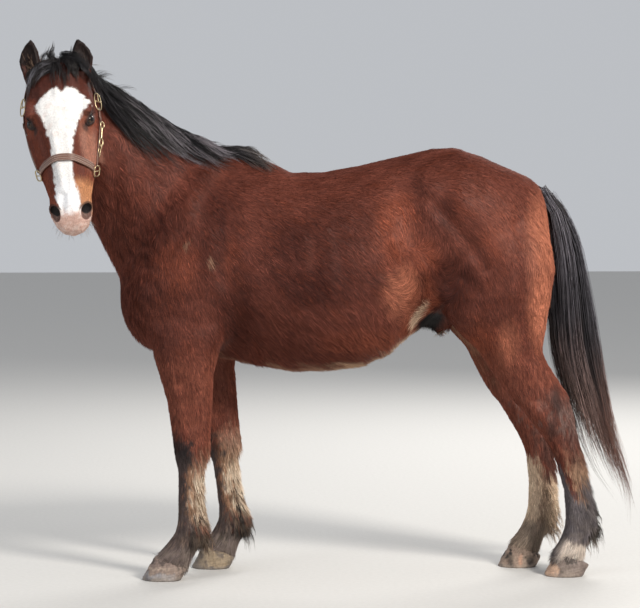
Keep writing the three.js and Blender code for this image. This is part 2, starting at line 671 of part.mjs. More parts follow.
function metalRing(side, { along, up }, { radius, tube }, lift, stretch, grow = 0) {
  const { point, out } = meet(along, up, sideWay(side));
  const torus = new THREE.TorusGeometry(radius, tube + grow, 5, 10);
  const upright = toMuzzle.clone().addScaledVector(out, -toMuzzle.dot(out)).normalize();
  const basis = new THREE.Matrix4().makeBasis(upright.clone().cross(out).negate(), upright, out);
  basis.setPosition(point.clone().addScaledVector(out, lift + tube));
  return solid(torus.scale(1, stretch, 1).applyMatrix4(basis));
}

const CLEAR_LIFT = CUT + HEAD_FINE;
const OVER_STRAP = 1.2 * STRAP_THICK + 2 * CUT;
const lowRing = (side, grow) => metalRing(side, RING_AT, RING, CLEAR_LIFT + 2, 1, grow);
const buckle = (side, grow) => metalRing(side, BUCKLE_AT, { radius: 17, tube: 2.8 }, OVER_STRAP, 1.35, grow);
const snap = metalRing(LEFT, { along: 232, up: -104 }, { radius: 8, tube: 3 }, OVER_STRAP, 2.4);

const STRAPS = {
  noseband: hoop({ ...RING_AT, lean: [-0.31, 0.95], from: 12, to: 168 }, 13),
  chin_strap: hoop({ ...RING_AT, lean: [0.25, -0.97], from: 14, to: 166 }, 10),
  cheek_left: cheekPlaces(LEFT),
  cheek_right: cheekPlaces(RIGHT),
  crown: hoop({ along: 108, up: -90, lean: [-1, 0.02], from: 2, to: 178 }, 13),
  // The throat strap shows on both sides and lies hidden in the fold between jaw and neck.
  throat_left: hoop({ along: 185, up: -130, lean: [0.75, -0.66], from: -25, to: 40 }, 6),
  throat_right: hoop({ along: 150, up: -168, lean: [0.347, -0.938], from: 104, to: 200 }, 10),
};

function strap(name, grow = 0) {
  return band(STRAPS[name], STRAP_WIDTH + 2 * grow, STRAP_THICK + grow, false);
}

const allRings = joined([LEFT, RIGHT].flatMap((side) => [lowRing(side, CUT), buckle(side, CUT)]));
const halter = {};
Object.keys(STRAPS).forEach((name, i, names) => {
  let left = strap(name).subtract(clear).subtract(allRings);
  names.slice(0, i).forEach((other) => (left = left.subtract(strap(other, CUT))));
  halter[`halter_${name}`] = plain(largest(left.subtract(clearEars())), NODE_FINE);
});
const fittings = {
  ring_left: largest(lowRing(LEFT, 0).subtract(clear)),
  ring_right: largest(lowRing(RIGHT, 0).subtract(clear)),
  buckle_left: largest(buckle(LEFT, 0).subtract(clear)),
  buckle_right: largest(buckle(RIGHT, 0).subtract(clear)),
  snap: largest(snap.subtract(clear)),
};
const clearHalter = joined([...Object.keys(STRAPS).map((name) => strap(name, 2 * CUT)), allRings]);

// ---------------------------------------------------------------- hair

// What a hair solid leaves when the body, hooves and other hair have been cut out of it.
const resting = (hair, ...others) =>
  plain(
    largest(others.reduce((left, other) => left.subtract(other), hair.subtract(clear).subtract(clearHooves))),
    NODE_FINE,
  );

// The tail: its front and back lines and its half-width, down from the dock
const TAIL = [
  { at: 1312, front: 735, back: 758, half: 20 },
  { at: 1290, front: 732, back: 800, half: 30 },
  { at: 1235, front: 755, back: 838, half: 36 },
  { at: 1125, front: 775, back: 866, half: 42 },
  { at: 995, front: 780, back: 892, half: 50 },
  { at: 868, front: 782, back: 917, half: 58 },
  { at: 760, front: 790, back: 934, half: 62 },
  { at: 660, front: 812, back: 955, half: 60 },
  { at: 570, front: 850, back: 975, half: 54 },
  { at: 480, front: 888, back: 1000, half: 46 },
  { at: 400, front: 928, back: 1030, half: 36 },
  { at: 330, front: 978, back: 1052, half: 26 },
  { at: 285, front: 1035, back: 1072, half: 12 },
];

const tail = solid(
  loft(
    stations(TAIL, 1).map(({ at, front, back, half }) =>
      eggRing({ top: V(front, 0, at), bottom: V(back, 0, at), side: ACROSS, half }, 12),
    ),
  ),
);

const MANE_REACH = 0.4; // how far down the neck's left side it falls, as a share of the neck's depth
const MANE_RISE = 20;
const MANE_SHARES = { from: 0.2, to: 0.94, steps: 12 };

// One cross-section of the mane, from over the crest to part way down the left side of the neck.
function maneRing(share) {
  const { top, bottom, side, half } = neckSection(share);
  const left = side.clone().multiplyScalar(-Math.sign(side.y) || 1);
  const fade = Math.sin(Math.PI * THREE.MathUtils.clamp((share - 0.1) / 0.92, 0.05, 0.95)) ** 0.5;
  const up = top.clone().sub(bottom).normalize();
  const low = top.clone().lerp(bottom, MANE_REACH * fade).addScaledVector(left, half * 0.98);
  const high = top.clone().addScaledVector(up, MANE_RISE * fade).addScaledVector(left, -12);
  const along = CREST.getTangent(share);
  const out = low.clone().sub(high).cross(along).normalize();
  return eggRing({ top: high, bottom: low, side: out, half: 22 * fade, crown: 2.2 }, 12);
}

const maneShares = Array.from({ length: MANE_SHARES.steps + 1 }, (_, i) =>
  THREE.MathUtils.lerp(MANE_SHARES.from, MANE_SHARES.to, i / MANE_SHARES.steps),
);
const mane = solid(loft(maneShares.map(maneRing)));

// The last lock of the mane, which lies back over the withers.
const witherLock = ellipsoid(V(-258, -38, 1408), [112, 26, 30], [0.5, 0.26, 0], 14);

const forelock = headEllipsoid({ at: [34, -10, 14], radii: [52, 72, 24], turn: [0, 0.12, 0.12] }, 1, 0, 14);

// Stations down the long hair behind a fetlock, from the leg's own back line
const FEATHER = [
  { at: 330, start: -40, reach: 4, half: 12 },
  { at: 270, start: -40, reach: 16, half: 20 },
  { at: 210, start: -46, reach: 31, half: 30 },
  { at: 160, start: -50, reach: 41, half: 35 },
  { at: 115, start: -40, reach: 36, half: 32 },
  { at: 85, start: -10, reach: 20, half: 18 },
];
const FORE_FEATHER = 0.6; // how full the feather of a foreleg is, as a share of that table
const HIND_FEATHER = 0.95;

function feather(rows, side, step, pivot, share) {
  return solid(
    loft(
      stations(FEATHER, 1).map(({ at, start, reach, half }) => {
        const leg = between(rows, at);
        const x = leg.back + forward(step, pivot, at);
        const [inner, outer] = [V(x + start, side * leg.out, at), V(x + reach * share, side * leg.out, at)];
        return eggRing({ top: inner, bottom: outer, side: ACROSS, half }, 10);
      }),
    ),
  );
}

const hair = {
  tail: resting(tail),
  mane: resting(mane, clearEars(), clearHalter),
  forelock: resting(forelock, clearEars(), clearHalter),
  feather_fore_left: resting(feather(FORELEG, LEFT, 0, FORE_PIVOT, FORE_FEATHER)),
  feather_fore_right: resting(feather(FORELEG, RIGHT, FORE_STEP, FORE_PIVOT, FORE_FEATHER)),
  feather_hind_left: resting(feather(HINDLEG, LEFT, 0, HIND_PIVOT, HIND_FEATHER)),
  feather_hind_right: resting(feather(HINDLEG, RIGHT, HIND_STEP, HIND_PIVOT, HIND_FEATHER)),
};
hair.mane_lock = resting(witherLock, mane);

function clearEars() {
  return joined([LEFT, RIGHT].map((side) => earLoft(side, { shrink: -2 * CUT })));
}

// ---------------------------------------------------------------- the finished model

const FINISHES = {
  coat: { color: 0x5f2a1c, roughness: 0.6, metalness: 0 },
  hair: { color: 0x17140f, roughness: 0.5, metalness: 0 },
  horn: { color: 0x6b5f55, roughness: 0.7, metalness: 0 },
  eye: { color: 0x120a06, roughness: 0.08, metalness: 0 },
  leather: { color: 0x5a3a30, roughness: 0.55, metalness: 0 },
  brass: { color: 0xb9a36a, roughness: 0.3, metalness: 1 },
};

const model = new THREE.Group();

function show(name, made, finish) {
  const mesh = new THREE.Mesh(toGeometry(made), new THREE.MeshStandardMaterial(FINISHES[finish]));
  mesh.name = name;
  model.add(mesh);
}

Object.entries(flesh).forEach(([name, made]) => show(name, made, "coat"));
Object.entries(hair).forEach(([name, made]) => show(name, made, "hair"));
Object.entries(hooves(0)).forEach(([name, made]) => show(name, made, "horn"));
Object.entries(halter).forEach(([name, made]) => show(name, made, "leather"));
Object.entries(fittings).forEach(([name, made]) => show(`halter_${name}`, made, "brass"));
show("eye_left", eyeBall(LEFT, 0), "eye");
show("eye_right", eyeBall(RIGHT, 0), "eye");

// The origin is under the middle of the whole model, on the floor.
const bounds = new THREE.Box3().setFromObject(model);
const middle = bounds.getCenter(V(0, 0, 0));
model.children.forEach(({ geometry }) => geometry.translate(-middle.x, -middle.y, -bounds.min.z));

export default model;
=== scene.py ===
import math

import bmesh
import bpy
import numpy as np
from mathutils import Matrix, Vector
from mathutils.bvhtree import BVHTree


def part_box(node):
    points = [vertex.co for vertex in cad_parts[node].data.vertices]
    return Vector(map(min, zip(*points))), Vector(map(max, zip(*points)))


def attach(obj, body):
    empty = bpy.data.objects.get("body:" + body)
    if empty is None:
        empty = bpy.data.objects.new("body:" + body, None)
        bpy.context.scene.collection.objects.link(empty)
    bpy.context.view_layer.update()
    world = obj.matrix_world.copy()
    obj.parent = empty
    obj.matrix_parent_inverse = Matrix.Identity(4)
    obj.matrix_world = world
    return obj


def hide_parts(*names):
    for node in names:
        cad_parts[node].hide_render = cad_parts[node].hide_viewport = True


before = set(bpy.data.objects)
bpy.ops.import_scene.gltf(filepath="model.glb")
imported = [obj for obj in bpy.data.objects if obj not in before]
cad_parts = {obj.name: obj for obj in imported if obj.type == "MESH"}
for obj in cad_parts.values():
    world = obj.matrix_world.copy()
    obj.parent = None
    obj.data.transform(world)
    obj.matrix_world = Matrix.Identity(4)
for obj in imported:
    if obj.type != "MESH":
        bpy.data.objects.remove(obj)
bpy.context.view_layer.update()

# ---------------- camera

CAMERA_PLACE = (-0.512, -8.929, 1.37)
CAMERA_AZIMUTH = math.radians(-3.0)
CAMERA_DROP = math.radians(2.93)
LENS = 150.4

camera = bpy.data.objects.new("camera", bpy.data.cameras.new("camera"))
bpy.context.scene.collection.objects.link(camera)
camera.location = CAMERA_PLACE
camera.rotation_euler = (math.pi / 2 - CAMERA_DROP, 0, CAMERA_AZIMUTH)
camera.data.lens = LENS
camera.data.sensor_width = 36
camera.data.clip_end = 100
bpy.context.scene.camera = camera

# ---------------- places on the horse

# Lengths are in millimetres from a zero on the floor, under the middle of the barrel. The near fore hoof's toe
# is 600 in front of it, and the horse looks towards -X with its left side towards -Y.
near_low, near_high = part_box("hoof_fore_left")
ZERO = np.array([near_low.x + 0.600, (near_low.y + near_high.y) / 2 + 0.132, 0.0])


def at(*point):
    """A place on the horse, or several, in the frame's metres."""
    return ZERO + np.asarray(point, float).reshape(-1, 3).squeeze() / 1000


def on_horse(places):
    """The frame's metres as the horse's millimetres."""
    return (places - ZERO) * 1000


def unit(vectors):
    length = np.linalg.norm(vectors, axis=-1, keepdims=True)
    return vectors / np.maximum(length, 1e-12)


def ease(value, low, high):
    """0 up to low, 1 from high, and smooth between."""
    t = np.clip((value - low) / (high - low), 0, 1)
    return t * t * (3 - 2 * t)


POLL = np.array([-870.0, -300.0, 1715.0])
TO_MUZZLE = unit(np.array([0.062, -0.264, -0.963]))
TO_FOREHEAD = np.array([-0.078, -0.963, 0.258])
TO_FOREHEAD = unit(TO_FOREHEAD - TO_FOREHEAD @ TO_MUZZLE * TO_MUZZLE)
TO_LEFT = np.cross(TO_FOREHEAD, TO_MUZZLE)
HEAD_AXES = np.array([TO_MUZZLE, TO_LEFT, TO_FOREHEAD])
SWAY = 18


def in_head(along, left, up):
    """A place along the head from the poll, to its left and up out of its forehead, in millimetres."""
    along, left, up = np.broadcast_arrays(*(np.asarray(v, float) for v in (along, left, up)))
    local = np.stack([along, left + SWAY * ease(along, 150, 520), up], -1)
    return POLL + local @ HEAD_AXES


def head_sizes(points):
    """The horse's millimetres as along, left and up in the head."""
    local = (points - POLL) @ HEAD_AXES.T
    return local[..., 0], local[..., 1] - SWAY * ease(local[..., 0], 150, 520), local[..., 2]


# ---------------- mesh tools


def mesh_object(name, points, faces, body="root"):
    """A new object from points in the frame's metres. faces is an array, or a list of arrays of equal rows."""
    groups = faces if isinstance(faces, list) else [faces]
    mesh = bpy.data.meshes.new(name)
    sizes = np.concatenate([np.full(len(g), g.shape[1]) for g in groups])
    loops = np.concatenate([g.ravel() for g in groups]).astype(np.int32)
    mesh.vertices.add(len(points))
    mesh.vertices.foreach_set("co", np.asarray(points, np.float32).ravel())
    mesh.loops.add(len(loops))
    mesh.loops.foreach_set("vertex_index", loops)
    mesh.polygons.add(len(sizes))
    mesh.polygons.foreach_set("loop_start", np.concatenate([[0], np.cumsum(sizes)[:-1]]).astype(np.int32))
    mesh.update(calc_edges=True)
    made = bpy.data.objects.new(name, mesh)
    bpy.context.scene.collection.objects.link(made)
    if body:
        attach(made, body)
    return made


def dress(made, finish):
    made.data.shade_smooth()
    made.data.materials.append(finish)


def drop(made):
    mesh = made.data
    bpy.data.objects.remove(made)
    bpy.data.meshes.remove(mesh)


def read_points(mesh):
    points = np.empty(len(mesh.vertices) * 3, np.float32)
    mesh.vertices.foreach_get("co", points)
    return points.reshape(-1, 3).astype(float)


def read_triangles(mesh):
    mesh.calc_loop_triangles()
    corners = np.empty(len(mesh.loop_triangles) * 3, np.int32)
    mesh.loop_triangles.foreach_get("vertices", corners)
    return corners.reshape(-1, 3)


def welded(points, triangles):
    """Joins points that share a place, and drops the triangles that this closes up."""
    _, first, number = np.unique(np.round(points, 5), axis=0, return_index=True, return_inverse=True)
    triangles = number.reshape(-1)[triangles]
    a, b, c = triangles.T
    return points[first], triangles[(a != b) & (b != c) & (c != a)]


def face_normals(points, triangles):
    a, b, c = (points[triangles[:, i]] for i in range(3))
    return np.cross(b - a, c - a)


def summed(rows, values, count):
    return np.stack([np.bincount(rows, values[:, i], count) for i in range(values.shape[1])], 1)


def point_normals(points, triangles):
    """Unit normals at the points, weighted by the area of the faces round them."""
    normals = face_normals(points, triangles)
    return unit(summed(triangles.T.ravel(), np.tile(normals, (3, 1)), len(points)))


def edges_of(triangles):
    return np.sort(np.concatenate([triangles[:, [0, 1]], triangles[:, [1, 2]], triangles[:, [2, 0]]]), 1)


class Neighbours:
    """Which points share an edge, for evening out values over a surface."""

    def __init__(self, triangles, count):
        pairs = np.unique(edges_of(triangles), axis=0)
        both = np.concatenate([pairs, pairs[:, ::-1]])
        both = both[np.argsort(both[:, 0], kind="stable")]
        self.others = both[:, 1]
        self.number = np.bincount(both[:, 0], minlength=count)
        self.starts = np.concatenate([[0], np.cumsum(self.number)[:-1]])

    def mean(self, values):
        total = np.add.reduceat(values[self.others], self.starts, axis=0)
        return total / (self.number[:, None] if values.ndim > 1 else self.number)

    def evened(self, values, times, share=0.5):
        for _ in range(times):
            values = values + share * (self.mean(values) - values)
        return values

    def smoothed(self, points, times, weight=1.0, push=0.53, pull=0.5):
        """Smooths without shrinking: each round draws the points in, then lets them out again."""
        weight = np.broadcast_to(weight, len(points))[:, None]
        for _ in range(times):
            points = points + pull * weight * (self.mean(points) - points)
            points = points - push * weight * (self.mean(points) - points)
        return points


def with_modifier(points, faces, kind, marked=None, **settings):
    """Points and triangles of a mesh after one modifier, which can be kept to the marked points."""
    rough = mesh_object("rough", points, faces, None)
    modifier = rough.modifiers.new("step", kind)
    if marked is not None:
        rough.vertex_groups.new(name="marked").add(marked.tolist(), 1.0, "REPLACE")
        modifier.vertex_group = "marked"
    for key, value in settings.items():
        setattr(modifier, key, value)
    shown = rough.evaluated_get(bpy.context.evaluated_depsgraph_get())
    made = shown.to_mesh()
    result = read_points(made), read_triangles(made).copy()
    shown.to_mesh_clear()
    drop(rough)
    return result


def split_finer(points, triangles, marked):
    """Cuts each marked triangle in four and the ones beside them to match."""
    unique, number = np.unique(edges_of(triangles), axis=0, return_inverse=True)
    number = number.reshape(3, -1).T
    cut = np.zeros(len(unique), bool)
    cut[number[marked].ravel()] = True
    middle = np.full(len(unique), -1)
    middle[cut] = len(points) + np.arange(cut.sum())
    points = np.concatenate([points, points[unique[cut]].mean(1)])
    halves = middle[number]
    count = (halves >= 0).sum(1)
    parts = [triangles[count == 0]]
    t, m = triangles[count == 3], halves[count == 3]
    parts += [np.stack(s, 1) for s in (
        (t[:, 0], m[:, 0], m[:, 2]), (m[:, 0], t[:, 1], m[:, 1]), (m[:, 2], m[:, 1], t[:, 2]), m.T)]
    for turn in range(3):
        order = np.roll(np.arange(3), -turn)
        one = (count == 1) & (halves[:, turn] >= 0)
        a, b, c = triangles[one][:, order].T
        m = halves[one, turn]
        parts += [np.stack([a, m, c], 1), np.stack([m, b, c], 1)]
        two = (count == 2) & (halves[:, order[2]] < 0)
        a, b, c = triangles[two][:, order].T
        m, n = halves[two, order[0]], halves[two, order[1]]
        parts += [np.stack([m, b, n], 1), np.stack([a, m, n], 1), np.stack([a, n, c], 1)]
    return points, np.concatenate(parts)


def tube(rings, closed=False):
    """Points and triangles of a tube through rings of points, its ends filled in, facing outwards."""
    count, ring = rings.shape[:2]
    points = rings.reshape(-1, 3)
    faces = []
    for i in range(count if closed else count - 1):
        low, high = i * ring, (i + 1) % count * ring
        for a in range(ring):
            b = (a + 1) % ring
            faces += [(low + a, low + b, high + b), (low + a, high + b, high + a)]
    if not closed:
        points = np.concatenate([points, rings[0].mean(0, keepdims=True), rings[-1].mean(0, keepdims=True)])
        first, last, end = count * ring, count * ring + 1, (count - 1) * ring
        faces += [(first, (a + 1) % ring, a) for a in range(ring)]
        faces += [(last, end + a, end + (a + 1) % ring) for a in range(ring)]
    faces = np.array(faces)
    a, b, c = (points[faces[:, i]] - points.mean(0) for i in range(3))
    return points, faces if (a * np.cross(b, c)).sum() > 0 else faces[:, ::-1]


def tree(points, triangles):
    return BVHTree.FromPolygons(points.tolist(), triangles.tolist())


# ---------------- skin

EARS = ("ear_left", "ear_right")
LEGS = ("foreleg_left", "foreleg_right", "hindleg_left", "hindleg_right")
BODY = ("trunk", "neck")
FLESH = (*BODY, "head", *EARS, *LEGS)
EYES = ("eye_left", "eye_right")
OVERLAP = 0.0016  # how far each part is let out, so that neighbours meet across the thin cuts
BROAD_GRAIN, SKIN_GRAIN, HOOF_GRAIN = 0.012, 0.0045, 0.0034  # metres
BODY_FACES = 76000


def part_of(owner, *names):
    """Whether each point belongs to one of the named parts of the body."""
    return np.isin(owner, [FLESH.index(name) for name in names])


def solid_of(node):
    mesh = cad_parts[node].data
    return welded(read_points(mesh), read_triangles(mesh))


def joined(parts):
    points, triangles, count = [], [], 0
    for p, t in parts:
        points.append(p)
        triangles.append(t + count)
        count += len(p)
    return np.concatenate(points), np.concatenate(triangles)


def let_out(points, triangles, by):
    return points + by * point_normals(points, triangles), triangles


def ear_root(node):
    """The ear again, narrower and set into the head, so that it grows out of it."""
    points, triangles = solid_of(node)
    down = TO_MUZZLE * 0.97 - TO_FOREHEAD * 0.2
    heights = points @ down
    middle = points[heights > heights.max() - 0.03].mean(0)
    return middle + (points - middle) * 0.8 + down * 0.022, triangles


def rough_skin(size):
    parts = [let_out(*solid_of(node), OVERLAP) for node in FLESH]
    parts += [let_out(*solid_of(node), -0.001) for node in EYES]
    parts += [ear_root(node) for node in EARS]
    points, triangles = joined(parts)
    return with_modifier(points, triangles, "REMESH", mode="VOXEL", voxel_size=size)


def nearest_on(surface, points):
    return np.array([surface.find_nearest(p)[0] for p in points.tolist()])


def part_at(points):
    """The number of the part of the body that each point belongs to, by the nearest solid."""
    solids = [solid_of(node) for node in FLESH]
    owner = np.concatenate([np.full(len(t), i) for i, (_, t) in enumerate(solids)])
    surface = tree(*joined(solids))
    found = np.array([surface.find_nearest(p)[2] for p in points.tolist()])
    return owner[found]


def limb_roots(points):
    """1 round the buttock and the point of the shoulder, where trunk and leg meet, falling to 0."""
    x, _, z = on_horse(points).T
    places = ((665, 1175, 215, 175), (-572, 945, 195, 205))
    near = [ease(1 - np.hypot((x - a) / wide, (z - c) / high), 0, 0.45) for a, c, wide, high in places]
    return np.max(near, axis=0)


def build_skin():
    broad, broad_faces = rough_skin(BROAD_GRAIN)
    broad = Neighbours(broad_faces, len(broad)).smoothed(broad, 40)
    broad = Neighbours(broad_faces, len(broad)).smoothed(broad, 34, limb_roots(broad), 0.0, 0.5)
    broad_surface = tree(*with_modifier(broad, broad_faces, "SUBSURF", levels=1))

    points, triangles = rough_skin(SKIN_GRAIN)
    beside = Neighbours(triangles, len(points))
    owner = part_at(points)
    body = part_of(owner, *BODY).astype(float)
    legs = part_of(owner, *LEGS).astype(float)
    broadly = beside.evened(body + 0.8 * legs, 12)
    broadly = np.maximum(broadly, limb_roots(points))
    moving = broadly > 0.01
    onto = points.copy()
    onto[moving] = nearest_on(broad_surface, points[moving])
    points = points + broadly[:, None] * (onto - points)
    ears = beside.evened(part_of(owner, *EARS).astype(float), 3)
    points = beside.smoothed(points, 14, 1 - 0.55 * ears)
    return points, triangles, owner


def leg_lines(points, owner):
    """Each leg's front, back and middle lines against its height."""
    lines = {}
    for leg in LEGS:
        mine = points[part_of(owner, leg)]
        heights = np.arange(40, 760, 20.0)
        rows = []
        for height in heights:
            ring = mine[np.abs(mine[:, 2] - height) < 14]
            x, y = ring[:, 0], ring[:, 1]
            rows.append((x.min(), x.max(), (y.min() + y.max()) / 2, (y.max() - y.min()) / 2))
        lines[leg] = heights, np.array(rows)
    return lines


def on_leg(lines, leg, height, back, side):
    """A place on a leg. back runs from 0 in front to 1 behind, and side from -1 inside to 1 outside."""
    heights, rows = lines[leg]
    front, rear, middle, half = (np.interp(height, heights, rows[:, i]) for i in range(4))
    out = -1 if leg.endswith("left") else 1
    return np.array([front + back * (rear - front), middle + side * out * half, height])


def path_distance(points, path):
    """How far each point is from a line through the path's places."""
    best = np.full(len(points), np.inf)
    for a, b in zip(path[:-1], path[1:]):
        run = b - a
        t = np.clip((points - a) @ run / max(run @ run, 1e-9), 0, 1)
        best = np.minimum(best, np.linalg.norm(points - a - t[:, None] * run, axis=1))
    return best


def even_line(line):
    """Each inner place of a line, drawn to the middle of its neighbours."""
    line[1:-1] = (line[:-2] + 2 * line[1:-1] + line[2:]) / 4


def swell(distance, radius):
    return np.clip(1 - (distance / radius) ** 2, 0, None) ** 2


# Forms on both sides of the body, seen from the side: height, radius and the places along them
SIDE_FORMS = (
    (5, 42, ((-372, 1380), (-460, 1230), (-560, 1075))),  # spine of the shoulder blade
    (-7, 46, ((-430, 1400), (-545, 1235), (-640, 1075))),  # hollow before the shoulder
    (-8, 52, ((-318, 1340), (-318, 1180), (-330, 1010))),  # hollow behind it
    (8, 100, ((-455, 985), (-400, 930))),  # triceps
    (4, 66, ((-622, 985), (-600, 960))),  # point of the shoulder
    (-5, 44, ((-612, 905), (-530, 862), (-440, 872))),  # between chest and forearm
    (7, 36, ((-352, 835), (-345, 800))),  # elbow
    (-7, 56, ((-300, 1060), (-300, 900), (-318, 790))),  # girth, behind the elbow
    (-3, 16, ((-45, 1150), (-40, 1060))),  # dents between the ribs
    (-2, 18, ((-118, 1160), (-100, 1010))),
    (-2, 18, ((35, 1150), (50, 1010))),
    (2, 26, ((-80, 1170), (-68, 980))),
    (2, 26, ((0, 1170), (12, 980))),
    (-15, 78, ((262, 1290), (285, 1190), (315, 1080))),  # hollow of the flank
    (7, 44, ((395, 960), (330, 1045), (235, 1120))),  # fold from flank to stifle
    (9, 46, ((322, 1335), (350, 1318))),  # point of the hip
    (-9, 30, ((352, 1262), (420, 1190), (490, 1100), (530, 1040))),  # line down the haunch
    (7, 60, ((445, 1270), (540, 1170), (590, 1080))),
    (-5, 30, ((640, 1190), (668, 1060), (660, 930))),  # between the hamstrings
    (8, 66, ((410, 925), (440, 880))),  # stifle
    (-7, 34, ((455, 1010), (500, 960))),
    (-4, 36, ((-700, 1500), (-690, 1330), (-700, 1190))),  # groove of the neck
)


def side_forms(points, normals, owner):
    """How far the body's forms stand out at each point."""
    height = np.zeros(len(points))
    flat = points.copy()
    flat[:, 1] = 0
    facing = ease(np.abs(normals[:, 1]), 0.15, 0.6)
    upper = part_of(owner, *BODY) | (points[:, 2] > 640)
    for amount, radius, places in SIDE_FORMS:
        path = np.array([(x, 0, z) for x, z in places], float)
        near = upper & (np.abs(points[:, 2] - path[:, 2].mean()) < np.ptp(path[:, 2]) / 2 + radius)
        height[near] += amount * swell(path_distance(flat[near], path), radius) * facing[near]
    return height


# Forms of a leg: height, radius, the places along them by height and share from front to back, and the sides
LEG_FORMS = {
    "fore": (
        (4, 22, ((470, 0.12), (400, 0.1)), (0,)),  # front of the knee
        (4, 17, ((450, 0.4), (405, 0.42)), (-1, 1)),
        (5, 15, ((455, 1.0), (420, 1.0)), (0,)),  # bone at the back of the knee
        (-4, 12, ((485, 0.72), (420, 0.7)), (-1, 1)),
        (-5, 10, ((375, 0.58), (225, 0.58)), (-1, 1)),  # groove before the tendons
        (4, 20, ((185, 0.45), (165, 0.45)), (-1, 1)),  # fetlock
        (-5, 24, ((660, 0.42), (520, 0.5)), (-1, 1)),  # between the forearm's muscles
        (5, 34, ((690, 0.2), (620, 0.2)), (1,)),
    ),
    "hind": (
        (-9, 26, ((745, 0.72), (690, 0.74), (630, 0.76)), (-1, 1)),  # before the great tendon of the hock
        (6, 20, ((700, 0.99), (610, 0.99)), (0,)),
        (5, 22, ((570, 0.3), (500, 0.3)), (-1, 1)),  # hock
        (-4, 16, ((600, 0.5), (540, 0.62)), (-1, 1)),
        (-5, 10, ((440, 0.6), (245, 0.6)), (-1, 1)),
        (4, 20, ((200, 0.45), (180, 0.45)), (-1, 1)),
        (6, 44, ((830, 0.25), (720, 0.25)), (1,)),  # gaskin
    ),
}


def leg_forms(points, owner, lines):
    height = np.zeros(len(points))
    for leg in LEGS:
        mine = np.flatnonzero(part_of(owner, leg))
        for amount, radius, places, sides in LEG_FORMS[leg[:4]]:
            for side in sides:
                path = np.array([on_leg(lines, leg, z, back, side) for z, back in places])
                height[mine] += amount * swell(path_distance(points[mine], path), radius)
    return height


# Forms of the head, along, left and up: height, radius and places, made on both sides where left isn't 0
HEAD_FORMS = (
    (4, 26, ((205, 66, 8), (150, 88, 0), (120, 92, -26))),  # arch of bone over the eye
    (-6, 24, ((128, 66, 6), (112, 82, -14))),  # hollow over the eye
    (5, 15, ((228, 104, -62), (290, 96, -72), (345, 86, -74))),  # crest of the cheek
    (-5, 24, ((250, 66, -4), (330, 52, -10), (400, 44, -16))),  # beside the nose bone
    (3, 17, ((250, 24, 20), (360, 22, 4), (430, 17, -6))),  # edge of the nose bone
    (-5, 20, ((375, 72, -66), (425, 62, -60))),  # before the cheek crest
    (-6, 20, ((452, 22, -8), (490, 26, -16))),  # between nose and nostril
    (-4, 22, ((335, 86, -112), (395, 70, -104))),  # cheek behind the lips
    (5, 40, ((150, 104, -150), (200, 100, -160))),  # cheek muscle
    (-4, 22, ((40, 78, -90), (70, 92, -100))),  # behind the jaw
    (3, 18, ((60, 0, 22), (120, 0, 28))),
    (4, 20, ((520, 34, -70), (545, 22, -78))),  # upper lip
    (-2, 7, ((520, 0, -32), (550, 0, -60))),  # groove of the upper lip
    (6, 22, ((528, 0, -122), (512, 0, -130))),  # chin
    (-6, 20, ((470, 0, -134), (450, 20, -134))),
)
MOUTH_LINE = ((562, 0, -88), (553, 24, -91), (532, 44, -97), (500, 60, -103), (472, 66, -106))


def both_sides(places):
    signs = (1, -1) if any(left for _, left, _ in places) else (1,)
    for sign in signs:
        yield np.array([in_head(along, sign * left, up) for along, left, up in places])


def head_forms(points):
    height = np.zeros(len(points))
    for amount, radius, places in HEAD_FORMS:
        for path in both_sides(places):
            height += amount * swell(path_distance(points, path), radius)
    for path in both_sides(MOUTH_LINE):
        away = path_distance(points, path)
        height += 2.5 * swell(away, 17) - 6.5 * swell(away, 6.5)
    return height


EYE_SIZE = 21
EYE_AT = (197, 86, -40)
EYE_LOOK = unit(np.array([0.08, 0.80, 0.59]))  # along, out and up
EYE_LONG = np.array([0.85, -0.35, 0.40])
EYE_LONG = unit(EYE_LONG - EYE_LONG @ EYE_LOOK * EYE_LOOK)
EYE_WIDE = np.cross(EYE_LONG, EYE_LOOK)
EYE_WIDE = EYE_WIDE * np.sign(EYE_WIDE[2])  # towards the upper lid
OPENING = {"half": 0.92, "upper": 0.42, "lower": 0.32}  # the eye's opening, as shares of its radius


def eye_place(side):
    along, left, up = EYE_AT
    return in_head(along, left * side, up)


def eye_sizes(points, side):
    """How far points lie from an eye's centre and outside its opening, and where along and across it."""
    away = points - eye_place(side)
    distance = np.linalg.norm(away, axis=1)
    local = unit(away) @ HEAD_AXES.T * np.array([1, side, 1])
    out, length, width = local @ EYE_LOOK, local @ EYE_LONG, local @ EYE_WIDE
    half = np.where(width > 0, OPENING["upper"], OPENING["lower"])
    outside = (np.abs(width) / half + (length / OPENING["half"]) ** 2 - 1) * half * EYE_SIZE
    return distance, np.where(out > 0.1, outside, 99.0), length, width


def shape_lids(points):
    """Lays the lids on the eyeball and opens the skin between them."""
    for side in (1, -1):
        near = np.flatnonzero(np.linalg.norm(points - eye_place(side), axis=1) < 48)
        distance, outside, _, width = eye_sizes(points[near], side)
        steps = (-3, -0.6, 0.2, 1.4, 4.0, 7.5, 9.0, 12.5)
        upper = np.interp(outside, steps, (-5, -3.5, 0.6, 2.6, 3.4, 3.6, 2.0, 4.2))
        lower = np.interp(outside, steps, (-5, -3.5, 0.5, 2.0, 2.6, 2.8, 2.0, 2.6))
        lid = EYE_SIZE + np.where(width > 0, upper, lower)
        share = 1 - ease(outside, 7.5, 17)
        target = distance + share * (lid - distance)
        points[near] = eye_place(side) + (points[near] - eye_place(side)) * (target / distance)[:, None]
    return points


NOSTRIL_AT = (500, 51, -40)  # along, left and up
NOSTRIL_RADII = (29, 20, 22)


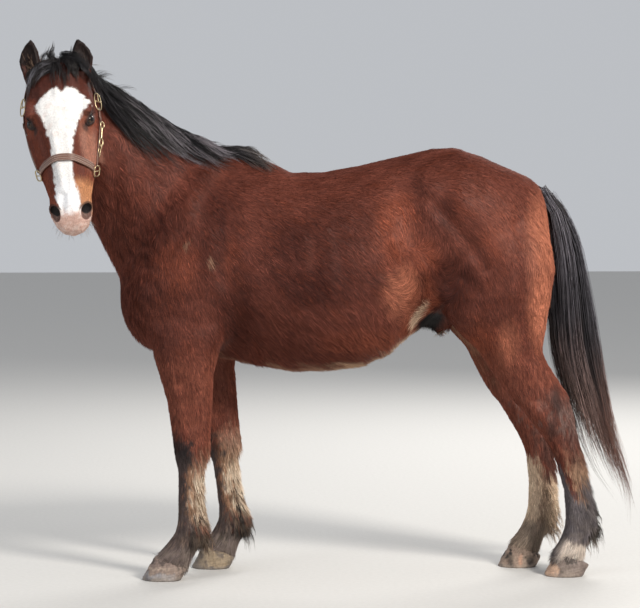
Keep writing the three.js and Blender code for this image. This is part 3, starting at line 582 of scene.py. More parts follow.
def nostril_sizes(points, side):
    """1 at the wall of the nostril's hollow, less inside it, and how far in or out a point lies."""
    along, left, up = head_sizes(points)
    x, y, z = (v - at_rest for v, at_rest in zip((along, left * side, up), NOSTRIL_AT))
    x, z = x * 0.93 + z * 0.36, z * 0.93 - x * 0.36
    a, b, c = NOSTRIL_RADII
    return np.sqrt((x / a) ** 2 + (y / b) ** 2 + (z / c) ** 2), y


def shape_nostrils(points, normals):
    for side in (1, -1):
        level, out = nostril_sizes(points, side)
        rim = np.exp(-(((level - 1.16) / 0.16) ** 2)) * ease(out, -14, -2)
        points = points + normals * (3.2 * rim)[:, None]
        deep = (1 - ease(level, 0.55, 1.02)) * (1 - ease(out, -8, 4))
        points = points - deep[:, None] * 9 * (TO_LEFT * side * 0.85 - TO_MUZZLE * 0.5)
    return points


COAT_DEPTH = {"body": 4.5, "legs": 3.0, "head": 1.2}  # how far the skin lies inside the solids


def refine(points, triangles):
    """Finer mesh where the face needs it: eyes, nostrils and lips."""
    def middles():
        return points[triangles].mean(1)

    def fine_places(reach):
        eyes = [np.linalg.norm(middles() - eye_place(s), axis=1) < 36 * reach for s in (1, -1)]
        nose = [nostril_sizes(middles(), s)[0] < 1.5 * reach for s in (1, -1)]
        mouth = [path_distance(middles(), p) < 11 * reach for p in both_sides(MOUTH_LINE)]
        return np.logical_or.reduce(eyes + nose + mouth)

    for reach in (1.12, 0.95):
        points, triangles = split_finer(points, triangles, fine_places(reach))
    return points, triangles


def fewer(points, triangles, owner):
    """Thins out the mesh of the body and legs, and leaves the head as it is."""
    along = head_sizes(points)[0]
    keep = part_of(owner, "head", *EARS) | (along > -30) & part_of(owner, "neck") & (points[:, 1] < -150)
    ratio = (keep[triangles].all(1).sum() + BODY_FACES) / len(triangles)
    body = np.flatnonzero(~keep)
    return with_modifier(points, triangles, "DECIMATE", body, vertex_group_factor=1.0, ratio=ratio)


def finish_skin():
    points, triangles, owner = build_skin()
    beside = Neighbours(triangles, len(points))
    points = on_horse(points)
    normals = point_normals(points, triangles)
    lines = leg_lines(points, owner)
    height = side_forms(points, normals, owner) + leg_forms(points, owner, lines)
    height = beside.evened(height, 6)
    points = points + normals * height[:, None]
    points, triangles = fewer(points, triangles, owner)
    points, triangles = refine(points, triangles)
    beside = Neighbours(triangles, len(points))
    owner = part_at(at(points))
    face = part_of(owner, "head", *EARS).astype(float)
    normals = point_normals(points, triangles)
    points = points + normals * (head_forms(points) * beside.evened(face, 4))[:, None]
    points = shape_nostrils(points, point_normals(points, triangles))
    points = beside.smoothed(points, 3, 0.8)
    legs = part_of(owner, *LEGS).astype(float)
    depth = COAT_DEPTH["body"] * (1 - face - legs) + COAT_DEPTH["legs"] * legs + COAT_DEPTH["head"] * face
    points = points - point_normals(points, triangles) * beside.evened(depth, 20)[:, None]
    points = shape_lids(points)
    return points, triangles, owner, lines


SKIN, SKIN_FACES, OWNER, LEG_LINES = finish_skin()
SKIN_NORMALS = point_normals(SKIN, SKIN_FACES)
SKIN_BESIDE = Neighbours(SKIN_FACES, len(SKIN))

# ---------------- markings, and painted light and shade on the body

BAY = (0.120, 0.034, 0.022)
DARK_BAY = (0.046, 0.0105, 0.0062)
COPPER = (0.208, 0.053, 0.027)
# BRIGHT is the coat's palest red, and is also laid on as painted light on the buttock, thigh and low flank.
BRIGHT = (0.37, 0.128, 0.074)
CREAM = (0.60, 0.44, 0.31)
TAN = (0.36, 0.225, 0.145)
BLACK = (0.014, 0.012, 0.012)
WHITE = (0.86, 0.84, 0.82)
PINK = (0.63, 0.415, 0.345)
DARK_SKIN = (0.035, 0.022, 0.02)


def ripple(points, size, seed):
    """A smooth uneven value from about -1 to 1, with waves of about this size in millimetres."""
    rng = np.random.default_rng(seed)
    waves = unit(rng.normal(size=(9, 3))) * rng.uniform(0.6, 1.6, (9, 1)) * 2 * np.pi / size
    return np.sin(points @ waves.T + rng.uniform(0, 7, 9)).sum(1) / 3


def spot(points, place, radii):
    """1 at a place seen from the side, falling to 0 at the radii round it."""
    x, z = (points[:, 0] - place[0]) / radii[0], (points[:, 2] - place[1]) / radii[1]
    return ease(1 - np.sqrt(x * x + z * z), 0, 0.8)


def spots(points, rows, strongest):
    """The strongest of several spots, given as place, radii and amount, and of the value already there."""
    for place, radii, amount in rows:
        strongest = np.maximum(strongest, amount * spot(points, place, radii))
    return strongest


# The blaze: how far right and left of the face's middle it reaches, down the face
BLAZE = np.array([
    (98, 20, 40), (106, -16, 62), (128, -48, 84), (150, -76, 104), (160, -72, 98), (178, -60, 80), (214, -48, 61),
    (250, -43, 46), (284, -38, 32), (330, -42, 28), (370, -41, 24), (410, -40, 26), (436, -43, 30), (458, -48, 36),
    (482, -34, 30), (505, -30, 26), (525, -34, 30),
])


def back_share(points, owner):
    """For the legs, 0 at the front line and 1 at the back, 0.5 elsewhere."""
    share = np.full(len(points), 0.5)
    for leg in LEGS:
        mine = part_of(owner, leg)
        heights, rows = LEG_LINES[leg]
        front, rear = (np.interp(points[mine, 2], heights, rows[:, i]) for i in (0, 1))
        share[mine] = (points[mine, 0] - front) / (rear - front)
    return share


def mix(colour, other, share):
    """Colours drawn towards another by a share from 0 to 1."""
    return colour + np.clip(share, 0, 1)[..., None] * (np.asarray(other) - colour)


def layered(colour, layers):
    """A colour with others laid over it in turn, each by its own share."""
    for other, share in layers:
        colour = mix(colour, other, share)
    return colour


def leg_colour(colour, points, owner):
    """Black, tan and cream down the legs."""
    height, back = points[:, 2], back_share(points, owner)
    rough = 0.16 * ripple(points, 26, 5) + 0.10 * ripple(points, 9, 6)
    streak = ripple(points * [1.0, 1.0, 0.22], 11, 7)
    for leg in LEGS:
        mine = part_of(owner, leg)
        z, b, r, s = height[mine], back[mine], rough[mine], streak[mine]
        near = leg.endswith("left")
        layers = [((0.19, 0.058, 0.036), ease(800 - z, 0, 120) * (0.75 + 0.5 * s + r))]
        if leg.startswith("fore"):
            pale = ease((480 if near else 530) - z + 80 * r - 50 * (1 - b), 0, 150) * ease(z, 180, 230)
            cream = ease(b + 0.45 * s + r, 0.40, 0.9) * 0.9 * ease((465 if near else 450) - z + 60 * r, 0, 130)
            shares = np.array([0.6, 0.5, 0.36, 0.32, 0.40, 0.64, 0.50, 0.06]) * (1 if near else 0.75)
            reach = np.interp(z, (150, 190, 230, 300, 375, 420, 465, 510), shares)
            fetlock = (0.035, 0.026, 0.023) if near else BLACK
            brown = np.interp(z, (380, 440), (1, 0))[:, None] * np.array([0.055, 0.038, 0.034])
            soft = np.interp(z, (370, 440), (1.0, 2.3))
            front = ease(reach - b + 0.7 * r + 0.06 * s, -0.08 * soft, 0.14 * soft)
            layers += [
                (TAN, pale * ease(b + r, 0.1, 0.3)),
                ((0.34, 0.17, 0.095), 0.7 * pale * ease(0.75 - b + r, 0, 0.35)),
                ((0.72, 0.57, 0.43), pale * cream),
                ((0.21, 0.135, 0.11), (not near) * 0.75 * pale * ease(z + 60 * r, 400, 460)),
                ((0.11, 0.065, 0.042), 0.7 * pale * ease(-s, 0.25, 0.9)),
                (fetlock, ease((234 if near else 220) - z + 90 * r + 26 * s, 0, 55)),
                (brown + [0.024, 0.018, 0.018], front * ease(575 - z + 80 * r, 0, 150)),
                (TAN, 0.30 * ease(s, 0.3, 1) * ease(240 - z, 0, 60)),
                ((0.180, 0.140, 0.128), ease(140 - z + 50 * r + 12 * s, 0, 50) * 0.85),
            ]
        else:
            grey = ease(620 - z, 0, 70) * ease(z, 430, 500) * ease(b + 0.4 * s + r, 0.5, 0.95)
            layers += [
                ((0.075, 0.040, 0.034), ease(660 - z + 60 * r, 0, 90) * ease(b + r, 0.25, 0.8) * 0.7),
                ((0.17, 0.115, 0.10), 0.55 * grey),
            ]
            for place, radii in (((777, 600), (26, 80)), ((765, 505), (30, 55))):
                layers.append(((0.040, 0.020, 0.017), 0.75 * near * spot(points[mine], place, radii)))
            if near:
                front = np.interp(z, (120, 230, 262, 330, 400), (1.4, 1.4, 0.36, 0.18, 0.0))
                rear = np.interp(z, (120, 230, 262, 330, 390), (-0.4, -0.4, 0.62, 0.72, 1.2))
                black = np.maximum(ease(front - b + 0.6 * r, -0.08, 0.1), ease(b - rear + 0.6 * r, -0.08, 0.1))
                layers += [
                    (TAN, 0.75 * ease(450 - z + 40 * r, 0, 90) * ease(b + 0.35 * s, 0.25, 0.6)),
                    (DARK_BAY, 0.6 * ease(500 - z, 0, 60) * ease(0.4 - b + r, 0, 0.25)),
                    # Low on the near hind the black points are laid on as a bluish grey: black hair with a painted
                    # sheen.
                    ((0.105, 0.090, 0.094), black * ease(430 - z, 0, 60)),
                    ((0.66, 0.56, 0.48), 0.9 * ease(132 - z + 40 * r, 0, 26) * ease(b, 0.05, 0.3)),
                ]
            else:
                line = np.interp(b, (0, 0.35, 0.7, 1), (412, 385, 335, 350))
                pale = ease(line - z + 70 * r + 14 * s, 0, 46)
                stripe = ease(0.17 - np.abs(b - 0.52) + 0.5 * r + 0.06 * s, 0, 0.12)
                layers += [
                    (CREAM, pale * 0.95),
                    ((0.17, 0.10, 0.065), 0.8 * pale * stripe),
                    ((0.21, 0.16, 0.125), ease(190 - z + 60 * r, 0, 50) * 0.9),
                ]
        colour[mine] = layered(colour[mine], layers)
    return colour


def face_colour(colour, points, normals, owner):
    """The blaze, the paler rings and the pink muzzle, with painted light on the near cheek and painted shade in
    the nostrils and the mouth.
    """
    along, left, up = head_sizes(points)
    front = normals @ TO_FOREHEAD
    rough = 3 * ripple(points, 26, 11) + 1.6 * ripple(points, 8, 12)
    head = part_of(owner, "head", *EARS).astype(float)
    # A paler patch on the near cheek only: painted highlight where the light falls on the cheek.
    cheek = ease(1 - np.sqrt(((along - 275) / 120) ** 2 + ((left - 82) / 34) ** 2), 0, 0.6)
    tan = ease(along + rough, 375, 415) * ease(left, 10, 30) * ease(front, -0.3, 0.2) * ease(up, -150, -115)
    layers = [
        (DARK_BAY, 0.45 * ease(140 - along, 0, 70)),
        (COPPER, 0.55 * ease(along, 190, 300) * ease(0.8 - front, 0, 0.5)),
        ((0.36, 0.165, 0.115), 0.75 * cheek),
        ((0.46, 0.21, 0.10), 0.9 * tan),
        (COPPER, 0.5 * ease(along + rough, 400, 440) * ease(-left, 30, 50)),
    ]
    for sign in (1, -1):
        distance, outside, _, _ = eye_sizes(points, sign)
        ring = ease(26 - np.abs(outside - 20), 0, 20) * ease(60 - distance, 0, 24)
        layers += [(COPPER, 0.7 * ring), (DARK_SKIN, ease(12 - outside, 0, 9) * ease(52 - distance, 0, 10))]
    low, high = np.interp(along, BLAZE[:, 0], BLAZE[:, 1]), np.interp(along, BLAZE[:, 0], BLAZE[:, 2])
    notch = 14 * ease(16 - np.abs(left - 14), 0, 14)
    inside = np.minimum(np.minimum(left - low, high - left), along - 100 - notch) + rough
    white = ease(inside, -3, 5) * ease(front, 0.05, 0.3) * ease(530 - along, 0, 20) * ease(up, -125, -95)
    dip = 30 * ease(30 - np.abs(left - 4), 0, 14)
    muzzle = ease(along + 2 * rough - 0.3 * np.abs(left - 6) - dip, 462, 492)
    nose = ease(along, 468, 500)
    mottle = ripple(points, 24, 14) + 0.6 * ripple(points, 9, 15)
    layers += [
        (WHITE, white),
        (PINK, 0.2 * white * ease(ripple(points, 30, 13), 0.3, 1.2)),
        ((0.95, 0.94, 0.95), white * ease(along, 380, 440)),
        (PINK, muzzle * ease(30 - np.abs(left - 6), -14, 12) * ease(along, 470, 500)),
        (WHITE, 0.8 * ease(along, 476, 500) * ease(13 - np.abs(np.abs(left - 2) - 33), 0, 9)),
        (PINK, ease(along + rough, 495, 520)),  # chin
        ((0.78, 0.64, 0.58), 0.45 * nose * ease(mottle, 0.0, 1.2)),
        ((0.42, 0.25, 0.21), 0.40 * nose * ease(-mottle, 0.2, 1.3)),
        ((0.30, 0.19, 0.17), 0.35 * nose * ease(ripple(points, 5, 16), 0.7, 1.3)),
        (CREAM, 0.5 * ease(along, 500, 530) * ease(-85 - up, 0, 20)),
    ]
    for sign in (1, -1):
        level, _ = nostril_sizes(points, sign)
        inner = ease(1.14 - level, 0, 0.14) * ease(along, 440, 455)
        rim = ease(0.16 - np.abs(level - 1.2), 0, 0.12) * ease(500 - along, 0, 16)
        layers += [
            ((0.20, 0.11, 0.09), inner),
            # Near black deep in the nostril: painted shade in its hollow.
            ((0.012, 0.008, 0.008), inner * ease(1.02 - level + 0.012 * (495 - along), 0, 0.12)),
            (DARK_SKIN, 0.75 * rim),
        ]
    lips = np.min([path_distance(points, path) for path in both_sides(MOUTH_LINE)], axis=0)
    # A dark line along the mouth: painted shade in the slit between the lips.
    layers.append((DARK_SKIN, 0.7 * ease(5 - lips, 0, 4)))
    return layered(colour, [(other, head * share) for other, share in layers])


def ear_colour(colour, points, normals, owner):
    for name in EARS:
        mine = part_of(owner, name)
        side = 1 if name == "ear_left" else -1
        inward = ease(normals[mine] @ unit(TO_FOREHEAD + side * 0.2 * TO_LEFT), 0.1, 0.6)
        rise = head_sizes(points[mine])[0]
        one = mix(colour[mine] * 0.6, BLACK, 0.7 * ease(-rise, -20, 50))
        # Faces looking forward into the ear go near black: dark skin, and painted shade in the ear's hollow.
        one = mix(one, (0.016, 0.009, 0.008), 0.95 * inward)
        one = mix(one, BAY, 0.5 * inward * ease(rise + 12 * ripple(points[mine], 18, 21), 6, 34))
        colour[mine] = one
    return colour


def coat_colour(points, normals, owner):
    """The coat's colour at places on the skin, and painted light and shade on the body. Skin and hair both take it
    from here.
    """
    x, y, z = points.T
    broad, middle = ripple(points, 210, 1), ripple(points, 64, 2)
    slant = points + (0.4 * (x - z))[:, None] * [-1, 0, 1]
    fine = ripple(slant, 20, 3)
    body, trunk, neck = part_of(owner, *BODY), part_of(owner, "trunk"), part_of(owner, "neck")
    back_line = np.interp(x, (-900, -400, -200, 60, 380, 560, 760), (1640, 1440, 1400, 1385, 1440, 1400, 1240))
    depth = back_line - z
    dark = 0.43 * ease(130 - depth + 40 * middle, 0, 150) * ease(760 - x, 0, 200)
    # The dark spots are partly darker coat and partly painted shade, most in the hollows behind and before the
    # shoulder and before the stifle, and on the breast, girth and barrel.
    dark = spots(points, (
        ((-374, 1190), (130, 260), 0.70),  # shoulder blade and the hollow before it
        ((-338, 1185), (24, 130), 1.0),
        ((-570, 1131), (150, 190), 0.55),  # foot of the neck
        ((-602, 935), (180, 180), 0.70),  # breast
        ((-292, 900), (140, 240), 0.70),  # girth
        ((-14, 1130), (300, 210), 0.70),  # ribs
        ((10, 1005), (290, 140), 0.92),  # barrel
        ((430, 990), (100, 170), 1.1),  # before the stifle
        ((400, 1210), (60, 120), 0.55),
        ((585, 890), (110, 190), 0.22),  # thigh
        ((455, 1390), (150, 70), 0.4),
    ), dark)
    dark = dark + 0.16 * broad * body + 0.14 * middle + 0.10 * fine
    curls = ripple(slant, 34, 4) * (neck + 0.6 * ease(1150 - z, 0, 200) * ease(-300 - x, 0, 150) * trunk)
    dark = dark + 0.30 * curls + 0.22 * ripple(slant * [0.7, 1, 1], 80, 8) * part_of(owner, *LEGS)
    # The copper and bright spots are partly paler coat and partly painted light, where the flank, haunch and
    # buttock face the light.
    copper = spots(points, (
        ((231, 1170), (110, 190), 0.85),  # flank
        ((330, 1070), (90, 110), 0.55),
        ((590, 1170), (110, 170), 0.5),
        ((520, 760), (120, 160), 0.7),
        ((-300, 1060), (60, 120), 0.35),
        ((-480, 1050), (100, 130), 0.45),
        ((520, 1260), (150, 100), 0.3),
        ((105, 800), (190, 80), 0.5),  # under the barrel
    ), 0.0)
    bright = spots(points, (
        ((730, 1131), (90, 240), 0.9),  # buttock
        ((725, 935), (70, 240), 0.95),
        ((255, 960), (100, 120), 0.7),  # flank, low
        ((610, 780), (60, 120), 0.5),
    ), 0.0)
    under = ease(-normals[:, 2] + 0.05 * middle, 0.86, 0.98) * body
    cream = under * ease(x, -120, 160) * 0.9 + 0.4 * under * ease(x, -420, -250)
    rim = ease(-normals[:, 2] + 0.05 * middle, 0.35, 0.8) * body * ease(x, 60, 260)
    above = z - 882
    groin = np.sqrt(((x - 330 - 0.6 * above) / 24) ** 2 + (above / 46) ** 2)
    groin = 0.75 * ease(1 - groin + 0.1 * middle, 0, 0.6)
    edge = ease(0.42 - np.abs(normals[:, 1]), 0, 0.2) * ease(-normals[:, 2], 0.2, 0.5) * body
    edge = edge * ease(x, 60, 200) * ease(350 - x, 0, 30)
    cream = np.maximum(cream, 0.8 * edge)
    belly = mix(np.tile(TAN, (len(points), 1)), CREAM, ease(x, 150, 290))
    thigh = part_of(owner, *LEGS[2:]) * ease(z, 560, 700) * ease(-normals[:, 1] * np.sign(y), 0.0, 0.6)
    sheath = spot(points, (371, 862), (62, 60)) * ease(130 - np.abs(y), 0, 30) * ease(-normals[:, 2], -0.2, 0.3)
    colour = layered(np.tile(BAY, (len(points), 1)), (
        (DARK_BAY, dark * ease(z, 560, 760)),
        (COPPER, copper + 0.10 * middle + 0.08 * fine),
        (BRIGHT, bright * (1 + 0.25 * fine)),
        (COPPER, 0.8 * rim),
        (belly, np.maximum(cream, groin)),
        (TAN, 0.5 * thigh),
        (COPPER, 0.5 * thigh * ease(820 - z, 0, 160)),
        (BLACK, 1.3 * sheath),
    ))
    for place, size in (((-372, 1062), 13), ((-455, 1117), 10)):
        away = np.hypot((x - place[0]) / size, (z - place[1]) / (1.6 * size))
        scar = ease(1 - away + 0.3 * ripple(points, 12, 31), 0, 0.5)
        colour = mix(colour, TAN, 0.42 * scar * (y < 0))
    colour = leg_colour(colour, points, owner)
    colour = face_colour(colour, points, normals, owner)
    return np.clip(ear_colour(colour, points, normals, owner), 0.004, 0.95)


# ---------------- lie of the coat

# Places on the body seen from the side, and the way the hair lies there: x and z
LIE = np.array([
    (-800, 1600, 0.75, -0.66), (-700, 1400, 0.45, -0.9), (-560, 1450, 0.6, -0.8), (-640, 1150, 0.2, -1.0),
    (-450, 1350, 0.5, -0.87), (-500, 1100, 0.25, -0.97), (-650, 950, 0.15, -1.0), (-430, 900, 0.3, -0.95),
    (-280, 1380, 0.9, -0.45), (-250, 1150, 0.7, -0.7), (-250, 900, 0.75, -0.66), (0, 1360, 0.97, -0.25),
    (0, 1100, 0.8, -0.6), (0, 820, 0.72, -0.7), (180, 1320, 0.95, -0.3), (190, 1100, 0.6, -0.8),
    (170, 880, 0.55, -0.84), (285, 1190, 0.15, -0.9), (300, 1060, -0.35, 0.5), (370, 960, -0.45, 0.8),
    (400, 1380, 0.95, -0.3), (470, 1200, 0.75, -0.66), (560, 1050, 0.45, -0.9), (680, 1200, 0.45, -0.9),
    (700, 1000, 0.05, -1.0), (450, 900, 0.25, -0.97), (560, 780, 0.3, -0.95),
])


def along_skin(way):
    return unit(way - (way * SKIN_NORMALS).sum(1, keepdims=True) * SKIN_NORMALS)


def lie_of_coat():
    """The way the hair lies at each point of the skin."""
    x, y, z = SKIN.T
    away = (x[:, None] - LIE[:, 0]) ** 2 + (z[:, None] - LIE[:, 1]) ** 2
    near = 1 / (away + 400) ** 1.6
    flow = (near @ LIE[:, 2:]) / near.sum(1)[:, None]
    way = np.stack([flow[:, 0], np.zeros(len(x)), flow[:, 1]], 1)
    way[:, 1] = -0.25 * np.sign(y) * ease(900 - z, 0, 200)
    down = ease(760 - z, 0, 160) * part_of(OWNER, *LEGS)
    leg_way = np.tile([0.06, 0.0, -1.0], (len(x), 1))
    leg_way[:, 0] = 0.12 + 0.5 * ease(back_share(SKIN, OWNER), 0.5, 1.0) * ease(420 - z, 0, 100)
    leg_way[:, 0] -= 0.9 * ease(150 - z, 0, 50)
    way = way + down[:, None] * (leg_way - way)
    along, left, _ = head_sizes(SKIN)
    whorl = np.stack([along - 150, left * 1.3, np.zeros(len(x))], 1)
    spread = unit(whorl)
    spread[:, 0] += 1.3 * ease(along, 150, 260)
    spread[:, 2] -= 0.9 * ease(np.abs(left), 50, 100)
    way = np.where(part_of(OWNER, "head")[:, None], spread @ HEAD_AXES, way)
    way = np.where(part_of(OWNER, *EARS)[:, None], -TO_MUZZLE, way)
    for _ in range(10):
        way = SKIN_BESIDE.evened(along_skin(way), 2)
    return along_skin(way)


LIE_OF_COAT = lie_of_coat()


# ---------------- coat

HAIR_PATCH = 0.003  # one hair's share of the bake map's side


def unwrap(points, owner):
    """The skin laid flat, part by part: across and up from 0 to 1, round each part and along it."""
    flat = np.zeros((len(points), 2))
    x, y, z = points.T
    middles = {
        "trunk": (np.stack([y - 20, z - 1050], 1), x, (-720, 800)),
        "neck": (np.stack([y + 40, (z - 1300) * 0.6 + (x + 650) * 0.7], 1), x - z * 0.8, (-2300, -1100)),
    }
    for i, name in enumerate(FLESH):
        mine = owner == i
        if name in middles:
            ring, run, span = middles[name]
            ring, run = ring[mine], run[mine]
        elif name in LEGS:
            heights, rows = LEG_LINES[name]
            centre = (rows[:, 0] + rows[:, 1]) / 2
            ring = np.stack([x - np.interp(z, heights, centre), y - np.interp(z, heights, rows[:, 2])], 1)[mine]
            run, span = z[mine], (30, 960)
        else:
            along, left, up = head_sizes(points[mine])
            if name == "head":
                ring, run, span = np.stack([left, up + 90], 1), along, (-60, 575)
            else:
                middle = 78 if name == "ear_left" else -78
                ring, run, span = np.stack([left - middle, up + 30], 1), -along, (-90, 90)
        turn = np.arctan2(ring[:, 0], ring[:, 1]) / (2 * np.pi) + 0.5
        flat[mine, 0] = turn
        flat[mine, 1] = (run - span[0]) / (span[1] - span[0])
    return 0.01 + 0.98 * np.clip(flat, 0, 1)


def put_colour(made, name, values):
    attribute = made.data.attributes.new(name, "FLOAT_COLOR", "POINT")
    full = np.ones((len(values), 4), np.float32)
    full[:, :3] = values
    attribute.data.foreach_set("color", full.ravel())


def put_map(made, triangles, places):
    """The piece's bake map, from a place in it for each point."""
    layer = made.data.uv_layers.new(name="OFBake")
    layer.data.foreach_set("uv", places[triangles.ravel()].astype(np.float32).ravel())


def sow(rng, faces, weight, number):
    """Random places on some of the skin's faces: the faces and the shares of their three corners."""
    corners = SKIN_FACES[faces]
    area = np.linalg.norm(face_normals(SKIN, corners), axis=1) * weight[corners].mean(1)
    total = np.cumsum(area)
    chosen = np.searchsorted(total, rng.random(number) * total[-1])
    r, s = np.sqrt(rng.random(number)), rng.random(number)
    return corners[np.minimum(chosen, len(faces) - 1)], np.stack([1 - r, r * (1 - s), r * s], 1)


def between(values, corners, shares):
    return (values[corners] * (shares[:, :, None] if values.ndim > 1 else shares)).sum(1)


# Length and width of the tufts, how steeply they rise and how many there are to a square centimetre
COAT = {
    "trunk": (27, 2.55, 0.12, 5.4),
    "neck": (28, 2.7, 0.15, 6.0),
    "legs": (18, 2.05, 0.16, 7.7),
    "head": (7.2, 1.4, 0.07, 17.0),
    "ears": (7.5, 1.2, 0.18, 20.0),
}


def tuft_sizes():
    """For each point of the skin: the tufts' length, width, rise and number."""
    z = SKIN[:, 2]
    rows = np.zeros((len(SKIN), 4))
    for i, name in enumerate(FLESH):
        kind = "ears" if name in EARS else "legs" if name in LEGS else name
        rows[OWNER == i] = COAT[kind]
    rows = SKIN_BESIDE.evened(rows, 12)
    along = head_sizes(SKIN)[0]
    head = part_of(OWNER, "head")
    belly = part_of(OWNER, *BODY) * ease(-SKIN_NORMALS[:, 2], 0.1, 0.7)
    legs = part_of(OWNER, *LEGS)
    shanks = legs * ease(470 - z, 0, 60) * ease(back_share(SKIN, OWNER), 0.35, 0.8) * ease(z, 110, 150)
    low = legs * ease(130 - z, 0, 40)
    rows[:, 0] *= 1 + 0.6 * belly + 1.5 * shanks + 0.9 * low
    rows[:, 2] *= 1 + 0.5 * belly + 0.9 * shanks + 1.0 * low
    rows[:, 0] *= 1 - 0.55 * head * ease(along, 420, 500)
    rows[:, 1] *= 1 - 0.35 * head * ease(along, 420, 500)
    bare = np.zeros(len(SKIN))
    for side in (1, -1):
        distance, outside, _, _ = eye_sizes(SKIN, side)
        bare = np.maximum(bare, ease(5 - outside, 0, 3) * ease(34 - distance, 0, 6))
        level, _ = nostril_sizes(SKIN, side)
        bare = np.maximum(bare, ease(1.22 - level, 0, 0.12))
        rows[:, 0] *= 1 - 0.5 * ease(60 - distance, 0, 30)
    lips = np.min([path_distance(SKIN, path) for path in both_sides(MOUTH_LINE)], axis=0)
    bare = np.maximum(bare, ease(8 - lips, 0, 3))
    rows[:, 3] *= 1 - bare * head
    return rows


TUFT_SIZES = tuft_sizes()


def coat_piece(name, chosen, seed, finish):
    """One piece of coat: thin three-sided tufts over some of the skin's faces, lying along it."""
    rng = np.random.default_rng(seed)
    faces = np.flatnonzero(chosen)
    weight = TUFT_SIZES[:, 3]
    area = np.linalg.norm(face_normals(SKIN, SKIN_FACES[faces]), axis=1) / 2
    number = int((area * weight[SKIN_FACES[faces]].mean(1)).sum() / 100)
    corners, shares = sow(rng, faces, weight, number)
    root, normal = between(SKIN, corners, shares), unit(between(SKIN_NORMALS, corners, shares))
    lie = between(LIE_OF_COAT, corners, shares)
    sizes = between(TUFT_SIZES, corners, shares)
    owner = OWNER[corners[np.arange(number), shares.argmax(1)]]
    colour = coat_colour(root, normal, owner)
    across = unit(np.cross(normal, lie))
    swing = (0.16 + 0.22 * part_of(owner, "neck")) * ripple(root, 55, 40) + rng.normal(0, 0.13, number)
    lie = unit(np.cross(across, normal))
    lie = unit(lie + across * swing[:, None])
    across = unit(np.cross(normal, lie))
    length = sizes[:, 0] * rng.uniform(0.65, 1.25, number)
    width = sizes[:, 1] * rng.uniform(0.7, 1.3, number)
    rise = sizes[:, 2] * rng.uniform(0.5, 1.3, number)
    bottom = root - normal * 0.8
    points = np.stack([
        bottom + across * (width / 2)[:, None],
        bottom - across * (width / 2)[:, None],
        root + normal * (0.35 * width)[:, None],
        root + lie * length[:, None] + normal * (0.4 + length * rise)[:, None],
    ], 1)
    start = 4 * np.arange(number)[:, None, None]
    triangles = (np.array([[0, 2, 3], [2, 1, 3], [1, 0, 3]]) + start).reshape(-1, 3)
    made = mesh_object(name, at(points.reshape(-1, 3)), triangles)
    streak = root - lie * (0.75 * (root * lie).sum(1, keepdims=True))
    calm = np.maximum(ease(root[:, 0], 330, 480), ease(root[:, 2], 1180, 1330))
    calm = 1 - 0.55 * part_of(owner, "trunk") * calm
    waves = 0.24 * ripple(streak, 40, 51) + 0.24 * ripple(streak, 15, 52)
    shade = np.exp(rng.normal(0, 0.19, number) + calm * waves)
    # Each tuft is darker at its root and lighter at its tip; the darker root is painted shade down among the
    # hairs.
    tip = np.array([0.72, 0.72, 0.88, 1.12])
    pale = ease(colour[:, 2], 0.3, 0.6)
    shade = shade ** (1 - 0.75 * pale)
    tip = tip[None] + (1 - tip[None]) * 0.7 * pale[:, None]
    tone = np.clip(colour[:, None, :] * (shade[:, None] * tip)[:, :, None], 0, 0.95)
    put_colour(made, "coat_colour", tone.reshape(-1, 3))
    places = unwrap(root, owner)[:, None, :] + HAIR_PATCH * np.array([[-0.5, 0], [0.5, 0], [0, 0.15], [0, 1]])
    put_map(made, triangles, np.clip(places, 0, 1).reshape(-1, 2))
    shown = np.array([0.75 * normal + 0.25 * across, 0.75 * normal - 0.25 * across, normal, normal - 0.1 * lie])
    made.data.shade_smooth()
    made.data.normals_split_custom_set_from_vertices(unit(shown.transpose(1, 0, 2).reshape(-1, 3)).tolist())
    made.data.materials.append(finish)


def coat_pieces(finish):
    middle = SKIN[SKIN_FACES].mean(1)
    owner = OWNER[SKIN_FACES[:, 0]]
    x, y = middle[:, 0], middle[:, 1]
    trunk = part_of(owner, "trunk")
    head, left = part_of(owner, "head", *EARS), head_sizes(middle)[1]
    pieces = {}
    for part, low, high in (("shoulder", -np.inf, -180), ("barrel", -180, 240), ("haunch", 240, np.inf)):
        here = trunk & (x >= low) & (x < high)
        pieces |= {f"coat_{part}_left": here & (y < 0), f"coat_{part}_right": here & (y >= 0)}
    pieces |= {"coat_neck": part_of(owner, "neck")}
    pieces |= {"coat_head_left": head & (left >= 0), "coat_head_right": head & (left < 0)}
    pieces |= {f"coat_{leg}": part_of(owner, leg) for leg in LEGS}
    for seed, (name, chosen) in enumerate(pieces.items()):
        coat_piece(name, chosen, 100 + seed, finish)


# ---------------- long hair

SKIN_SURFACE = tree(SKIN, SKIN_FACES)


def on_skin(place):
    """The nearest place on the skin, and the way out of it there."""
    near, normal, _, _ = SKIN_SURFACE.find_nearest(place.tolist())
    return np.array(near), np.array(normal)


def box_of(node):
    """A node's box in the horse's millimetres."""
    low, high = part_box(node)
    return on_horse(np.array(low)), on_horse(np.array(high))


def along_lines(lines, share):
    """Places along lines at shares of their length, carried on past their ends."""
    count = lines.shape[1] - 1
    run = np.clip(share, 0, None) * count
    low = np.minimum(run.astype(int), count - 1)
    rows = np.arange(len(lines))[:, None]
    start, end = lines[rows, low], lines[rows, low + 1]
    return start + (run - low)[..., None] * (end - start)


